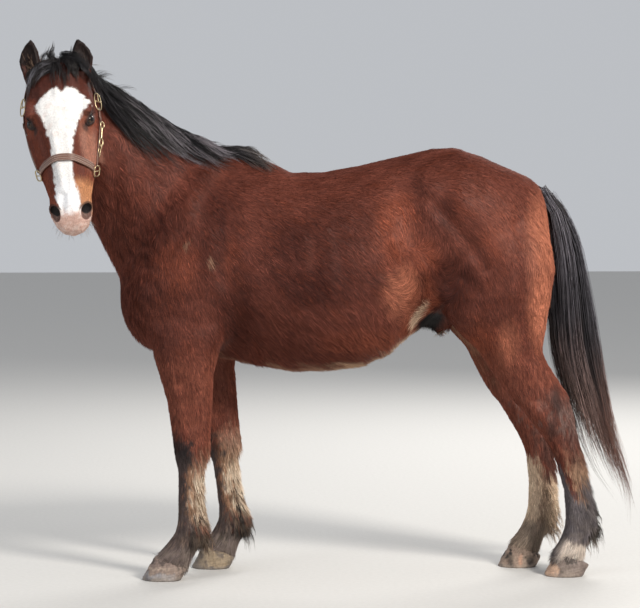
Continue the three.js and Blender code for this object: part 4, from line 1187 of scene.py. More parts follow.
def in_locks(rng, guides, outward, number, spread, steps, close=0.75, reach=(0.75, 1.06), wave=2.0, wander=3.0):
    """Strands that follow the guides in locks, which close up towards their tips."""
    lock = rng.integers(len(guides), size=number)
    share = np.linspace(0, 1, steps) * rng.uniform(*reach, number)[:, None]
    middle = along_lines(guides[lock], share)
    run = unit(np.gradient(middle, axis=1))
    out = np.broadcast_to(outward[lock][:, None, :], run.shape)
    side = unit(np.cross(run, out))
    out = np.cross(side, run)
    place = np.clip(rng.normal(size=(number, 2)), -2, 2) * spread
    narrow = 1 - close * ease(share, 0, 1)
    phase = rng.uniform(0, 6.3, (len(guides), 2))[lock] + rng.normal(0, 0.35, (number, 2))
    start = ease(share, 0, 0.4)
    bends = [np.sin(share * 2 * np.pi * f + phase[:, i:i + 1]) * start for i, f in enumerate((1.3, 1.7))]
    stray = np.cumsum(rng.normal(0, 1, (number, steps, 2)), axis=1) * (wander / steps)
    stray = stray * ease(share, 0, 1)[..., None]
    sideways = place[:, :1] * narrow + wave * bends[0] + stray[..., 0]
    outwards = place[:, 1:] * narrow + 0.5 * wave * bends[1] + 0.6 * stray[..., 1]
    return middle + side * sideways[..., None] + out * outwards[..., None], lock, share


def strands(name, paths, outward, width, colours, finish, replaced=(), places=None):
    """One piece of long hair: strands as thin tapering three-sided rods."""
    if places is None:
        places = nearest_places(paths[:, 0])
    number, steps, _ = paths.shape
    run = unit(np.gradient(paths, axis=1))
    out = np.broadcast_to(outward if outward.ndim == 3 else outward[:, None, :], run.shape)
    side = unit(np.cross(run, out))
    out = np.cross(side, run)
    share = np.linspace(0, 1, steps)
    thick = width[:, None] * np.interp(share, (0, 0.25, 0.7, 1), (0.75, 1.0, 0.8, 0.1)) / 2
    ring = []
    for turn in (90, 210, 330):
        c, s = math.cos(math.radians(turn)), math.sin(math.radians(turn))
        ring.append(paths + (side * c + out * (0.7 * s)) * thick[..., None])
    rings = np.stack(ring, 2)[:, :-1].reshape(number, -1, 3)
    points = np.concatenate([rings, paths[:, -1:]], 1)
    each = points.shape[1]
    faces = [(0, 2, 1)]
    for i in range(steps - 2):
        for a, b in ((0, 1), (1, 2), (2, 0)):
            p, q, r, t = 3 * i + a, 3 * i + b, 3 * i + 3 + a, 3 * i + 3 + b
            faces += [(p, q, t), (p, t, r)]
    last = 3 * (steps - 2)
    faces += [(last, last + 1, each - 1), (last + 1, last + 2, each - 1), (last + 2, last, each - 1)]
    triangles = (np.array(faces)[None] + each * np.arange(number)[:, None, None]).reshape(-1, 3)
    made = mesh_object(name, at(points.reshape(-1, 3)), triangles)
    tone = np.concatenate([np.repeat(colours[:, :-1], 3, axis=1), colours[:, -1:]], 1)
    put_colour(made, "coat_colour", np.clip(tone, 0.002, 0.95).reshape(-1, 3))
    patch = np.stack([np.tile([-0.5, 0, 0.5], steps - 1), np.repeat(share[:-1], 3)], 1)
    patch = np.concatenate([patch, [[0, 1]]]) * HAIR_PATCH
    put_map(made, triangles, np.clip(places[:, None, :] + patch[None], 0, 1).reshape(-1, 2))
    dress(made, finish)
    if replaced:
        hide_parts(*replaced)


def nearest_places(points):
    """The bake map's places for roots anywhere near the skin."""
    found = [SKIN_SURFACE.find_nearest(p) for p in points.tolist()]
    owner = OWNER[SKIN_FACES[[f[2] for f in found], 0]]
    return unwrap(np.array([f[0] for f in found]), owner)


def over_skin(start, way, steps, length, lift):
    """A line laid over the skin. way and lift depend on the share of the line already run."""
    place, line, normals = np.array(start, float), [], []
    for i in range(steps + 1):
        share = i / steps
        near, normal = on_skin(place)
        place = near + normal * lift(share)
        line.append(place)
        normals.append(normal)
        run = way(share)
        run = unit(run - run @ normal * normal)
        place = place + run * length / steps
    line = np.array(line)
    even_line(line)
    return line, np.mean(normals, axis=0)


def hair_tone(rng, count, share, root, middle, tip, spread=0.35):
    """Colours along strands from root to tip, each strand with its own depth of tone."""
    stops = np.array([root, middle, tip])
    tone = np.stack([np.interp(share, (0, 0.5, 1), stops[:, i]) for i in range(3)], -1)
    return tone * np.exp(rng.normal(0, spread, count))[:, None, None]


# The tail: height, front, back and half its width
TAIL = np.array([
    (1322, 712, 734, 16), (1305, 722, 756, 20), (1282, 732, 802, 30), (1235, 752, 842, 36), (1125, 775, 876, 42),
    (995, 780, 903, 50), (868, 782, 928, 58), (760, 790, 945, 62), (660, 812, 964, 60), (570, 845, 982, 54),
    (480, 872, 1000, 50), (400, 900, 1028, 42), (330, 936, 1052, 32), (285, 972, 1066, 22),
])
TAIL_MIDDLE = np.mean([corner[1] for corner in box_of("tail")])


def tail_place(height, turn, share):
    front, back, half = (np.interp(-height, -TAIL[:, 0], TAIL[:, i]) for i in (1, 2, 3))
    x = (front + back) / 2 + share * np.cos(turn) * (back - front) / 2
    return np.stack([x, TAIL_MIDDLE + share * np.sin(turn) * half, height], -1)


def tail_hair(finish):
    rng = np.random.default_rng(300)
    number = 130
    turn = rng.uniform(0, 2 * np.pi, number)
    start = rng.beta(0.9, 1.5, number)
    share = np.clip(1.02 - 0.75 * start + rng.normal(0, 0.10, number), 0.15, 1.0)
    top = 1300 - 320 * start
    back = (1 + np.cos(turn)) / 2
    bottom = 470 - 160 * back + rng.normal(0, 55, number)
    run = np.linspace(0, 1, 14)
    height = top[:, None] + (bottom - top)[:, None] * run
    fallen = ease(top[:, None] - height, 0, 170)
    place_share = 0.35 + (share[:, None] - 0.35) * fallen
    guides = tail_place(height, (turn + 0.5 * rng.normal(0, 0.35, number))[:, None] * np.ones(14), place_share)
    outward = np.stack([np.cos(turn), np.sin(turn), 0 * turn], 1)
    count = 2300
    paths, lock, along = in_locks(rng, guides, outward, count, (9, 5), 11, 0.4, (0.66, 1.07), 6.0, 26.0)
    lock_tone = np.exp(rng.normal(0, 0.45, number))[lock][:, None, None]
    # The strands start a bluish grey at their roots: painted sheen on the upper tail.
    tone = hair_tone(rng, count, along, (0.098, 0.092, 0.106), (0.037, 0.034, 0.039), (0.19, 0.118, 0.098))
    tone = tone * lock_tone
    # Some locks are drawn towards a bluish grey near their roots: painted sheen.
    painted_sheen = (rng.random(number) < 0.25)[lock][:, None]
    tone = mix(tone, (0.21, 0.20, 0.23), painted_sheen * (0.7 * ease(0.6 - along, 0, 0.4)))
    edge = (back[lock] > 0.8)[:, None] * ease(along, 0.55, 1.0)
    tone = mix(tone, (0.20, 0.085, 0.060), edge * 0.65)
    places = np.stack([0.5 + turn[lock] / 14, 0.02 + 0.9 * (1316 - paths[:, 0, 2]) / 400], 1)
    places = places + rng.uniform(-0.02, 0.02, places.shape)
    width, places = rng.uniform(1.3, 2.6, count), np.clip(places, 0, 1)
    strands("tail", paths, outward[lock], width, tone, finish, replaced=("tail",), places=places)


def tail_core(finish):
    """The dock and the thick of the tail, inside the hair."""
    heights = np.array([1308, 1285, 1235, 1125, 995, 868, 760, 660, 570, 500])
    size = np.array([0.05, 0.45, 0.70, 0.78, 0.80, 0.78, 0.70, 0.56, 0.36, 0.05])
    height = np.linspace(heights[0], heights[-1], 60)
    turn = np.linspace(0, 2 * np.pi, 40, endpoint=False)
    share = np.interp(-height, -heights, size)
    rings = tail_place(*np.broadcast_arrays(height[:, None], turn, share[:, None]))
    rings[..., :2] += 2.5 * np.sin(turn * 9 + 0.3)[:, None] * np.stack([np.cos(turn), np.sin(turn)], 1)
    points, triangles = tube(rings)
    made = mesh_object("tail_core", at(points), triangles)
    tone = np.tile([0.010, 0.008, 0.008], (len(points), 1)) * np.exp(0.3 * ripple(points, 20, 60))[:, None]
    put_colour(made, "coat_colour", tone)
    place = np.stack([0.2 + 0.002 * np.cos(np.arange(len(points))), 0.2 + points[:, 2] / 3000], 1)
    put_map(made, triangles, place)
    dress(made, finish)


CREST = np.array([
    (-215, 0, 1385), (-335, 0, 1428), (-440, -4, 1462), (-565, -24, 1535), (-690, -80, 1622), (-785, -172, 1662),
    (-842, -246, 1668), (-858, -282, 1690),
])


def crest_place(share):
    """A place along the top of the neck, from the withers to the poll."""
    runs = np.concatenate([[0], np.cumsum(np.linalg.norm(np.diff(CREST, axis=0), axis=1))])
    return np.stack([np.interp(share * runs[-1], runs, CREST[:, i]) for i in range(3)], -1)


def crest_way(share):
    way = crest_place(share - 0.03) - crest_place(share + 0.03)
    return unit(way)


def mane_guides(rng, number):
    guides, outs = [], []
    for i in range(number):
        share = 0.30 + 0.70 * (i + rng.random()) / number
        start = crest_place(share) + [0, rng.uniform(-13, 11), 0]
        back = crest_way(share)
        level = unit(np.array([back[0], back[1], 0]))
        length = np.interp(
            start[0], (-858, -800, -690, -565, -480, -430, -380), (350, 395, 392, 308, 222, 150, 85))
        length *= rng.uniform(0.70, 1.12)
        first, middle, last = (
            np.interp(start[0], (-858, -690, -450), steepness) + rng.normal(0, stray)
            for steepness, stray in (((22, 34, 28), 4), ((46, 55, 48), 6), ((46, 38, 30), 7)))
        layer = rng.uniform(0.35, 1.25)

        def way(t):
            slope = math.radians(np.interp(t, (0, 0.15, 0.5, 1), (first - 6, first, middle, last)))
            return level * math.cos(slope) + np.array([0, -0.85 * (1 - ease(t, 0.05, 0.28)), -math.sin(slope)])

        line, out = over_skin(
            start, way, 12, length, lambda t: 4 + layer * 24 * math.sin(math.pi * min(1, 0.2 + 0.74 * t)))
        guides.append(line)
        outs.append(out)
    return np.array(guides), np.array(outs)


def mane_hair(finish):
    rng = np.random.default_rng(310)
    guides, outs = mane_guides(rng, 210)
    count = 2800
    paths, lock, along = in_locks(rng, guides, outs, count, (7, 3.5), 9, 0.78, (0.55, 1.10), 5.5, 12.0)
    lock_tone = np.exp(rng.normal(0, 0.28, len(guides)))[lock][:, None, None]
    tone = hair_tone(rng, count, along, (0.010, 0.009, 0.010), (0.014, 0.013, 0.015), (0.036, 0.030, 0.030))
    tone = tone * lock_tone
    # Some locks, more of them towards the withers, turn bluish grey from their middles to their tips: painted
    # sheen.
    painted_sheen = (rng.random(len(guides)) < np.interp(guides[:, 0, 0], (-800, -600), (0.10, 0.48)))[lock][:, None]
    tone = mix(tone, (0.24, 0.215, 0.235), painted_sheen * (0.8 * ease(along, 0.2, 0.55)))
    strands("mane", paths, outs[lock], rng.uniform(1.1, 2.3, count), tone, finish, replaced=("mane",))


def mane_roots(finish):
    """Short hair along the crest, under the mane, and the strays that stand off it."""
    rng = np.random.default_rng(311)
    guides, outs = [], []
    for i in range(150):
        share = 0.20 + 0.80 * (i + rng.random()) / 150
        start = crest_place(share) + [0, rng.uniform(-16, 16), 0]
        back, stray = crest_way(share), rng.random() < 0.22
        side = -1.0 if rng.random() < 0.8 else 0.6
        length = rng.uniform(60, 110) if stray else rng.uniform(50, 95)
        high = rng.uniform(10, 30) if stray else rng.uniform(2, 9)
        if stray and share > 0.72:
            length, high, side = rng.uniform(90, 190), rng.uniform(20, 58), 0.2
        line, out = over_skin(
            start, lambda t: back + np.array([0, 0.45 * side * t, -0.1]), 7, length,
            lambda t: 2 + high * ease(t, 0, 0.8))
        guides.append(line)
        outs.append(out)
    guides, outs = np.array(guides), np.array(outs)
    count = 1300
    paths, lock, along = in_locks(rng, guides, outs, count, (8, 3), 6, 0.4, (0.6, 1.1), 2.0, 6.0)
    tone = hair_tone(rng, count, along, (0.014, 0.011, 0.011), (0.012, 0.010, 0.011), (0.03, 0.02, 0.018))
    strands("mane_roots", paths, outs[lock], rng.uniform(1.0, 2.0, count), tone, finish)


def mane_lock(finish):
    """The lock that lies back over the withers."""
    rng = np.random.default_rng(320)
    guides, outs = [], []
    for _ in range(34):
        x = rng.uniform(-350, -275)
        start = np.array([x, rng.uniform(-34, 6), np.interp(x, (-352, -215), (1440, 1390))])
        steep = rng.uniform(2, 20)
        length = np.interp(x, (-350, -275), (212, 145)) * rng.uniform(0.62, 1.10)
        high, fan = rng.uniform(3, 22), rng.uniform(-0.62, -0.12)

        def way(t):
            slope = math.radians(steep + 26 * t)
            return np.array([math.cos(slope), fan * (1 - 0.5 * t), -math.sin(slope)])

        line, out = over_skin(
            start, way, 9, length, lambda t: 4 + high * math.sin(math.pi * min(1, 0.12 + 0.78 * t)))
        guides.append(line)
        outs.append(out)
    guides, outs = np.array(guides), np.array(outs)
    count = 560
    paths, lock, along = in_locks(rng, guides, outs, count, (5, 2.5), 8, 0.85, (0.5, 1.15), 4.5, 14.0)
    tone = hair_tone(rng, count, along, (0.012, 0.010, 0.011), (0.030, 0.027, 0.028), (0.08, 0.062, 0.055), 0.5)
    # Some locks are drawn towards a pale grey all along: painted sheen.
    painted_sheen = (rng.random(len(guides)) < 0.4)[lock][:, None]
    tone = mix(tone, (0.16, 0.14, 0.135), painted_sheen * 0.7)
    strands("mane_lock", paths, outs[lock], rng.uniform(1.1, 2.1, count), tone, finish, replaced=("mane_lock",))


def forelock_hair(finish):
    rng = np.random.default_rng(330)
    guides, outs = [], []
    for _ in range(80):
        left, along = rng.uniform(-46, 56), rng.uniform(-28, 26)
        start = in_head(along, left, 6)
        wisp = rng.random() < 0.14
        if wisp:
            lean, length = rng.uniform(-0.5, 0.7), rng.uniform(35, 62)
            start = on_skin(in_head(along, left, -20))[0]
            line = np.array([
                start + (-TO_MUZZLE * 0.85 + TO_LEFT * (lean * t) + TO_FOREHEAD * (0.25 + 0.3 * t)) * length * t
                for t in np.linspace(0, 1, 9)])
            guides.append(line)
            outs.append(TO_FOREHEAD)
            continue
        if -6 < left < 30 and rng.random() < 0.45:
            sweep = rng.uniform(-0.25, 0.15)
            length = rng.uniform(74, 106)
            turn = (-sweep, -0.1 - sweep * 0.5)
        elif left < 26:
            start = in_head(rng.uniform(4, 34), left, 8)
            sweep = rng.uniform(0.9, 1.8)
            length = rng.uniform(82, 120)
            turn = (-sweep, -sweep * 0.45)
        else:
            sweep = rng.uniform(0.1, 0.7)
            length = rng.uniform(34, 62)
            turn = (sweep, -0.1)
        high = rng.uniform(4, 17)

        def way(t):
            return TO_MUZZLE * np.interp(t, (0, 0.3, 1), (0.35, 0.7, 1)) + TO_LEFT * np.interp(t, (0, 1), turn)

        line, out = over_skin(
            start, way, 8, length, lambda t: 3 + high * math.sin(math.pi * min(1, 0.2 + 0.72 * t)))
        guides.append(line)
        outs.append(out)
    guides, outs = np.array(guides), np.array(outs)
    count = 1150
    paths, lock, along = in_locks(rng, guides, outs, count, (6.5, 4), 8, 0.6, (0.65, 1.1), 2.5, 7.0)
    tone = hair_tone(rng, count, along, (0.014, 0.012, 0.012), (0.018, 0.016, 0.017), (0.042, 0.032, 0.028))
    swept_out = (guides[:, -1] - guides[:, 0]) @ TO_LEFT < -45
    sheen = (swept_out & (rng.random(len(guides)) < 0.5))[lock][:, None]
    sheen = sheen * ease(0.36 - np.abs(along - 0.55), 0, 0.3)
    tone = mix(tone, (0.18, 0.172, 0.195), 0.8 * sheen)
    strands("forelock", paths, outs[lock], rng.uniform(0.9, 1.8, count), tone, finish, replaced=("forelock",))


FEATHERS = {
    "fore_left": ((0.02, 0.018, 0.016), (0.05, 0.035, 0.028), (0.22, 0.14, 0.09)),
    "fore_right": ((0.012, 0.010, 0.010), (0.014, 0.012, 0.012), (0.06, 0.045, 0.038)),
    "hind_left": ((0.014, 0.011, 0.010), (0.014, 0.012, 0.012), (0.05, 0.036, 0.03)),
    "hind_right": ((0.30, 0.20, 0.13), (0.36, 0.25, 0.17), (0.42, 0.31, 0.22)),
}


def feather_hair(which, finish, seed):
    """The long hair behind a fetlock."""
    rng = np.random.default_rng(seed)
    leg = which.replace("_", "leg_")
    low, high = box_of("feather_" + which)
    heights, rows = LEG_LINES[leg]
    guides, outs = [], []
    for _ in range(90):
        height = rng.uniform(low[2] + 45, high[2] + 8)
        side = np.clip(rng.normal(0, 0.55), -1, 1)
        start = on_leg(LEG_LINES, leg, height, 0.93 - 0.22 * abs(side), side * 0.9)
        bulk = math.sin(math.pi * np.clip((height - low[2]) / (high[2] - low[2]), 0.05, 0.95)) ** 0.7
        reach = (high[0] - np.interp(height - 30, heights, rows[:, 1])) * bulk * rng.uniform(0.35, 1.0)
        reach = reach * (1 - 0.45 * abs(side))
        reach = max(reach, 3)
        fall = rng.uniform(42, 78)
        t = np.linspace(0, 1, 8)[:, None]
        way = np.array([reach, side * 9, 0]) * np.sin(t * np.pi * 0.55) + np.array([0, 0, -fall]) * t ** 1.25
        line = start + way
        line[:, 0] += 0.25 * reach * t[:, 0] ** 2
        guides.append(line)
        outs.append(unit(np.array([1.0, 0.8 * side, 0.1])))
    guides, outs = np.array(guides), np.array(outs)
    count = 1050
    paths, lock, along = in_locks(rng, guides, outs, count, (5.5, 4), 6, 0.7, (0.55, 1.2), 4.0, 11.0)
    paths[..., 2] = np.maximum(paths[..., 2], 14)
    root, middle, tip = FEATHERS[which]
    tone = hair_tone(rng, count, along, root, middle, tip, 0.4)
    if which == "fore_left":
        pale = ease(paths[:, 0, 2] + rng.normal(0, 18, count), 214, 262)[:, None]
        fawn = np.array([0.34, 0.22, 0.13]) * np.exp(rng.normal(0, 0.3, count))[:, None, None]
        tone = mix(tone, fawn, pale * 0.85)
    if which == "hind_left":
        low_down = ease(low[2] + 78 - paths[:, 0, 2] + rng.normal(0, 10, count), 0, 30)[:, None]
        tone = mix(tone, (0.26, 0.17, 0.115), low_down * ease(along, 0.3, 0.8) * 0.8)
    if which == "hind_right":
        dark = (rng.random(count) < 0.25)[:, None, None]
        tone = np.where(dark, tone * 0.35, tone)
    name, width = "feather_" + which, rng.uniform(1.0, 2.0, count)
    strands(name, paths, outs[lock], width, tone, finish, (name,))


def coronet_hair(leg, finish, seed):
    """The fringe that hangs from the foot of the leg over the top of the hoof."""
    rng = np.random.default_rng(seed)
    points, triangles = solid_of("hoof_" + leg.replace("leg", ""))
    wall = tree(on_horse(points), triangles)
    mine = np.flatnonzero(part_of(OWNER, leg) & (SKIN[:, 2] < 130))
    found = [wall.find_nearest(p) for p in SKIN[mine].tolist()]
    gap = np.array([f[3] for f in found]) * np.sign([
        (np.array(p) - f[0]) @ np.array(f[1]) for p, f in zip(SKIN[mine], found)])
    near = mine[(gap > -2) & (gap < 20)]
    edge = np.zeros(len(SKIN))
    edge[near] = 1
    faces = np.flatnonzero(edge[SKIN_FACES].all(1))
    corners, shares = sow(rng, faces, 0.7 + 0.8 * ease(back_share(SKIN, OWNER), 0.4, 0.9), 150)
    start, lie = between(SKIN, corners, shares), between(LIE_OF_COAT, corners, shares)
    normal = unit(between(SKIN_NORMALS, corners, shares))
    guides = []
    for place, way, out in zip(start, lie, normal):
        length, lift = rng.uniform(22, 48), rng.uniform(1.0, 4.5)
        line = [place]
        for i in range(1, 6):
            place = place + unit(0.8 * way + np.array([0, 0, -0.9]) + out * 0.05) * length / 5
            touch, facing, _, _ = wall.find_nearest(place.tolist())
            touch, facing = np.array(touch), np.array(facing)
            above = (place - touch) @ facing
            if np.linalg.norm(place - touch) < 25:
                place = place + facing * (np.clip(above, lift * i / 5 + 0.6, lift * i / 5 + 3.5) - above)
            place[2] = max(place[2], 6)
            line.append(place)
        guides.append(line)
    guides = np.array(guides)
    count = 820
    paths, lock, _ = in_locks(rng, guides, normal, count, (4.5, 1.2), 4, 0.6, (0.55, 1.15), 2.5, 6.0)
    paths[..., 2] = np.maximum(paths[..., 2], 4)
    tone = coat_colour(paths[:, 0], normal[lock], np.full(count, FLESH.index(leg)))
    shade = np.exp(rng.normal(0, 0.3, count))[:, None] * np.array([0.75, 0.85, 1.0, 1.15])
    tone = tone[:, None, :] * shade[..., None]
    strands("coronet_" + leg, paths, normal[lock], rng.uniform(1.0, 2.0, count), tone, finish)


def face_whiskers(finish):
    """Lashes, whiskers and the pale hair in the ears."""
    rng = np.random.default_rng(340)
    paths, tones, widths = [], [], []
    steps = np.linspace(0, 1, 5)[:, None]
    for side in (1, -1):
        centre = eye_place(side)
        look, rise = ((axis * [1, side, 1]) @ HEAD_AXES for axis in (EYE_LOOK, EYE_WIDE))
        for _ in range(46):
            length = rng.uniform(-0.75, 0.6)
            upper = OPENING["upper"] * (1 - (length / OPENING["half"]) ** 2)
            deep = math.sqrt(max(0.05, 1 - length ** 2 - upper ** 2))
            local = EYE_LONG * length + EYE_WIDE * (upper + 0.1) + EYE_LOOK * deep
            way = (unit(local) * [1, side, 1]) @ HEAD_AXES
            root = centre + way * (EYE_SIZE + 2.2)
            out = unit(look + rise * 0.1 + TO_MUZZLE * rng.normal(0.0, 0.2))
            paths.append(root + out * steps * rng.uniform(9, 16) + rise * steps ** 2 * 3)
            tones.append((0.012, 0.01, 0.01))
            widths.append(0.7)
        for _ in range(60):
            start = in_head(rng.uniform(495, 550), side * rng.uniform(8, 52), rng.uniform(-128, -60))
            near, normal = on_skin(start)
            out = unit(normal + 0.5 * TO_MUZZLE + rng.normal(0, 0.25, 3))
            paths.append(near + out * steps * rng.uniform(12, 30) + TO_MUZZLE * steps ** 2 * 4)
            tones.append((0.35, 0.27, 0.22) if rng.random() < 0.6 else (0.02, 0.015, 0.012))
            widths.append(0.45)
        for _ in range(90):
            start = in_head(rng.uniform(-12, 40), side * rng.uniform(56, 100), rng.uniform(-44, -22))
            near, normal = on_skin(start)
            if normal @ TO_FOREHEAD < 0.15:
                continue
            out = unit(-TO_MUZZLE * 0.8 + normal * 0.35 + TO_LEFT * side * rng.normal(-0.15, 0.35))
            paths.append(near + out * steps * rng.uniform(22, 46))
            tones.append((0.30, 0.19, 0.13) if rng.random() < 0.3 else (0.02, 0.012, 0.010))
            widths.append(0.8)
    paths, widths = np.array(paths), np.array(widths)
    tone = np.array(tones)[:, None, :] * np.ones((1, 5, 1))
    out = np.broadcast_to(TO_FOREHEAD, (len(paths), 3))
    strands("whiskers", paths, out, widths, tone, finish)


# ---------------- eyes

def ball(rings):
    """A unit ball's points and triangles."""
    form = bmesh.new()
    bmesh.ops.create_icosphere(form, subdivisions=rings, radius=1)
    mesh = bpy.data.meshes.new("ball")
    form.to_mesh(mesh)
    form.free()
    result = read_points(mesh), read_triangles(mesh).copy()
    bpy.data.meshes.remove(mesh)
    return result


def eyeball(name, side, finish):
    points, triangles = ball(6)
    out, length, width = points @ EYE_LOOK, points @ EYE_LONG, points @ EYE_WIDE
    if side < 0:
        triangles = triangles[:, ::-1]
    reach = np.sqrt((length / 0.74) ** 2 + (width / 0.62) ** 2)
    reach = np.where(out > 0, reach, 9)
    bulge = 1 + 0.045 * ease(1.15 - reach, 0, 0.6)
    places = eye_place(side) + (points * bulge[:, None] * [1, side, 1] * (EYE_SIZE - 0.2)) @ HEAD_AXES
    made = mesh_object(name, at(places), triangles)
    fleck = ripple(points * 21, 5, 70)
    pupil = np.sqrt((length / 0.40) ** 2 + (width / 0.22) ** 2)
    tone = layered(np.tile([0.05, 0.034, 0.028], (len(points), 1)), (
        ((0.030, 0.017, 0.010), ease(1.06 - reach, 0, 0.12)),
        ((0.055, 0.028, 0.013), 0.6 * ease(0.25 - np.abs(reach - 0.66), 0, 0.2) * (0.7 + 0.3 * fleck)),
        ((0.006, 0.004, 0.004), ease(0.12 - np.abs(reach - 1.0), 0, 0.08)),
        ((0.003, 0.003, 0.004), ease(1.05 - pupil, 0, 0.1) * (out > 0)),
    ))
    put_colour(made, "eye_colour", tone)
    dress(made, finish)
    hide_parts(name)


# ---------------- hooves

HOOF_TONES = {
    # wall, patches, how much of them, and the mark that this hoof has
    "hoof_fore_left": ((0.20, 0.145, 0.12), (0.085, 0.062, 0.053), 0.6, (0.215, 0.20, 0.205)),
    "hoof_fore_right": ((0.25, 0.19, 0.125), (0.12, 0.092, 0.072), 0.6, (0.085, 0.068, 0.060)),
    "hoof_hind_left": ((0.15, 0.115, 0.10), (0.055, 0.042, 0.036), 0.6, (0.46, 0.30, 0.21)),
    "hoof_hind_right": ((0.24, 0.17, 0.13), (0.018, 0.014, 0.013), 0.35, (0.48, 0.25, 0.16)),
}
RING_GAP = 8.5  # between the rings that the wall grows in


def hoof(name, finish):
    solid = let_out(*solid_of(name), 0.0008)
    points, triangles = with_modifier(*solid, "REMESH", mode="VOXEL", voxel_size=HOOF_GRAIN)
    beside = Neighbours(triangles, len(points))
    points = on_horse(beside.smoothed(beside.smoothed(points, 12), 9, 1.0, 0.0, 0.5))
    normals = point_normals(points, triangles)
    low, high = points.min(0), points.max(0)
    middle = np.array([low[0] + 0.55 * (high[0] - low[0]), (low[1] + high[1]) / 2, 0])
    forward = (high[0] - points[:, 0]) / (high[0] - low[0])
    turn = np.arctan2(points[:, 1] - middle[1], -(points[:, 0] - middle[0]))
    wall = ease(normals[:, 2] + 0.72, 0, 0.3) * ease(points[:, 2], 2, 7)
    rise = points[:, 2] - 0.18 * (points[:, 0] - low[0])
    rings = np.sin(rise * 2 * np.pi / RING_GAP + 1.3 * ripple(points, 60, 81)) * 0.45
    rings = rings + np.sin(rise * 2 * np.pi / 19) * 0.5
    grain = 0.25 * ripple(np.stack([turn * 55, points[:, 2] * 0.15, 0 * turn], 1), 6, 82)
    lump = 1.1 * ripple(points, 45, 83)
    chips = ripple(np.stack([turn * 60, 0 * turn, 0 * turn], 1), 26, 84)
    chips = ease(13 - points[:, 2], 0, 10) * ease(chips, 0.25, 0.9)
    points = points + normals * ((rings + grain + lump) * wall - 3.4 * chips * wall)[:, None]
    points[:, 2] = np.maximum(points[:, 2], 0)
    base, patch, much, mark = HOOF_TONES[name]
    tone = np.tile(np.array(base), (len(points), 1))
    cloud = ripple(points, 38, 85 + len(name)) + 0.5 * ripple(points, 14, 86)
    tone = mix(tone, patch, ease(cloud, 1.1 - 1.3 * much, 1.7 - 1.2 * much))
    if name == "hoof_fore_left":
        tone = mix(tone, mark, ease(31 - points[:, 2] + 5 * cloud, 0, 12) * ease(forward, 0.1, 0.4))
        band = ease(5 - np.abs(points[:, 2] - 42 - 5 * cloud), 0, 5) * ease(forward, 0.3, 0.5)
        tone = mix(tone, (0.36, 0.28, 0.22), 0.7 * band)
    elif name == "hoof_fore_right":
        tone = mix(tone, mark, 0.8 * ease(np.abs(forward - 0.45) + 0.05 * cloud, 0.16, 0.42))
    elif name == "hoof_hind_left":
        tone = mix(tone, mark, ease(forward + 0.03 * cloud, 0.70, 0.78))
    elif name == "hoof_hind_right":
        dark = [ease(half - np.abs(forward - place), 0, 0.12) for half, place in ((0.12, 0.74), (0.15, 0.28))]
        tone = mix(tone, patch, np.maximum(*dark) * ease(56 - points[:, 2] + 6 * cloud, 0, 26) * 0.85)
        streak = ease(0.08 - np.abs(forward - 0.52), 0, 0.09) * ease(50 - points[:, 2] + 5 * cloud, 0, 14)
        tone = mix(tone, mark, 0.7 * streak)
    fibre = ripple(np.stack([turn * 55, points[:, 2] * 0.1, 0 * turn], 1), 5, 87)
    tone = tone * (1 + 0.10 * fibre + 0.07 * np.sin(rise * 2 * np.pi / RING_GAP))[:, None]
    rim = (0.11, 0.098, 0.095) if "fore" in name else (0.20, 0.16, 0.135)
    tone = mix(tone, rim, 0.75 * ease(16 - points[:, 2] + 4 * cloud, 0, 12))
    made = mesh_object(name, at(points), triangles)
    put_colour(made, "horn_colour", np.clip(tone, 0.01, 0.9))
    dress(made, finish)
    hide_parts(name)


# ---------------- halter

def turned(vectors):
    """Vectors in the head's along, left and up as the horse's directions."""
    return np.asarray(vectors, float) @ HEAD_AXES


def hit_from(outside, inside):
    """Where a line from outside first meets the skin."""
    way = unit(inside - outside)
    place, normal, _, _ = SKIN_SURFACE.ray_cast(outside.tolist(), way.tolist())
    return on_skin(inside) if place is None else (np.array(place), np.array(normal))


def head_hoop(along, up, lean, start, end, count=44):
    """A line round the head in a sloping plane, drawn tight over the hollows, and the way out of it."""
    middle = in_head(along, 0, up)
    turns = np.radians(np.linspace(start, end, count))
    ways = turned(np.stack([lean[0] * np.sin(turns), np.cos(turns), lean[1] * np.sin(turns)], 1))
    reach = np.array([np.linalg.norm(hit_from(middle + w * 260, middle)[0] - middle) for w in ways])
    for gap in (1, 2, 3, 5, 8, 8, 5, 3, 2, 1):
        a, b = reach[:-2 * gap], reach[2 * gap:]
        chord = 2 * a * b * np.cos(gap * (turns[1] - turns[0])) / (a + b)
        reach[gap:-gap] = np.maximum(reach[gap:-gap], chord)
    for _ in range(14):
        even_line(reach)
    line = middle + ways * reach[:, None]
    across = np.broadcast_to(unit(turned([-lean[1], 0, lean[0]])), line.shape)
    run = unit(np.gradient(line, axis=0))
    out = np.cross(across, run)
    return line, unit(out * np.sign((out * ways).sum(1, keepdims=True)))


def cheek_line(side, places, count=30):
    """A line down the side of the face through places given as along and up."""
    share = np.linspace(0, len(places) - 1, count)
    along, up = (np.interp(share, range(len(places)), [p[i] for p in places]) for i in (0, 1))
    found = [hit_from(in_head(a, side * 300, u), in_head(a, 0, u)) for a, u in zip(along, up)]
    line, out = np.array([f[0] for f in found]), np.array([f[1] for f in found])
    for _ in range(8):
        even_line(line)
        out = unit(np.concatenate([out[:1], out[:-2] + 2 * out[1:-1] + out[2:], out[-1:]]))
    return line, out


def flat_section(width, thick):
    """The outline of a plain strap, across and out, with rounded edges."""
    turns = np.linspace(0, 2 * np.pi, 14, endpoint=False)
    c, s = np.cos(turns), np.sin(turns)
    return np.stack([np.sign(c) * np.abs(c) ** 0.35 * width / 2, np.sign(s) * np.abs(s) ** 0.6 * thick / 2], 1)


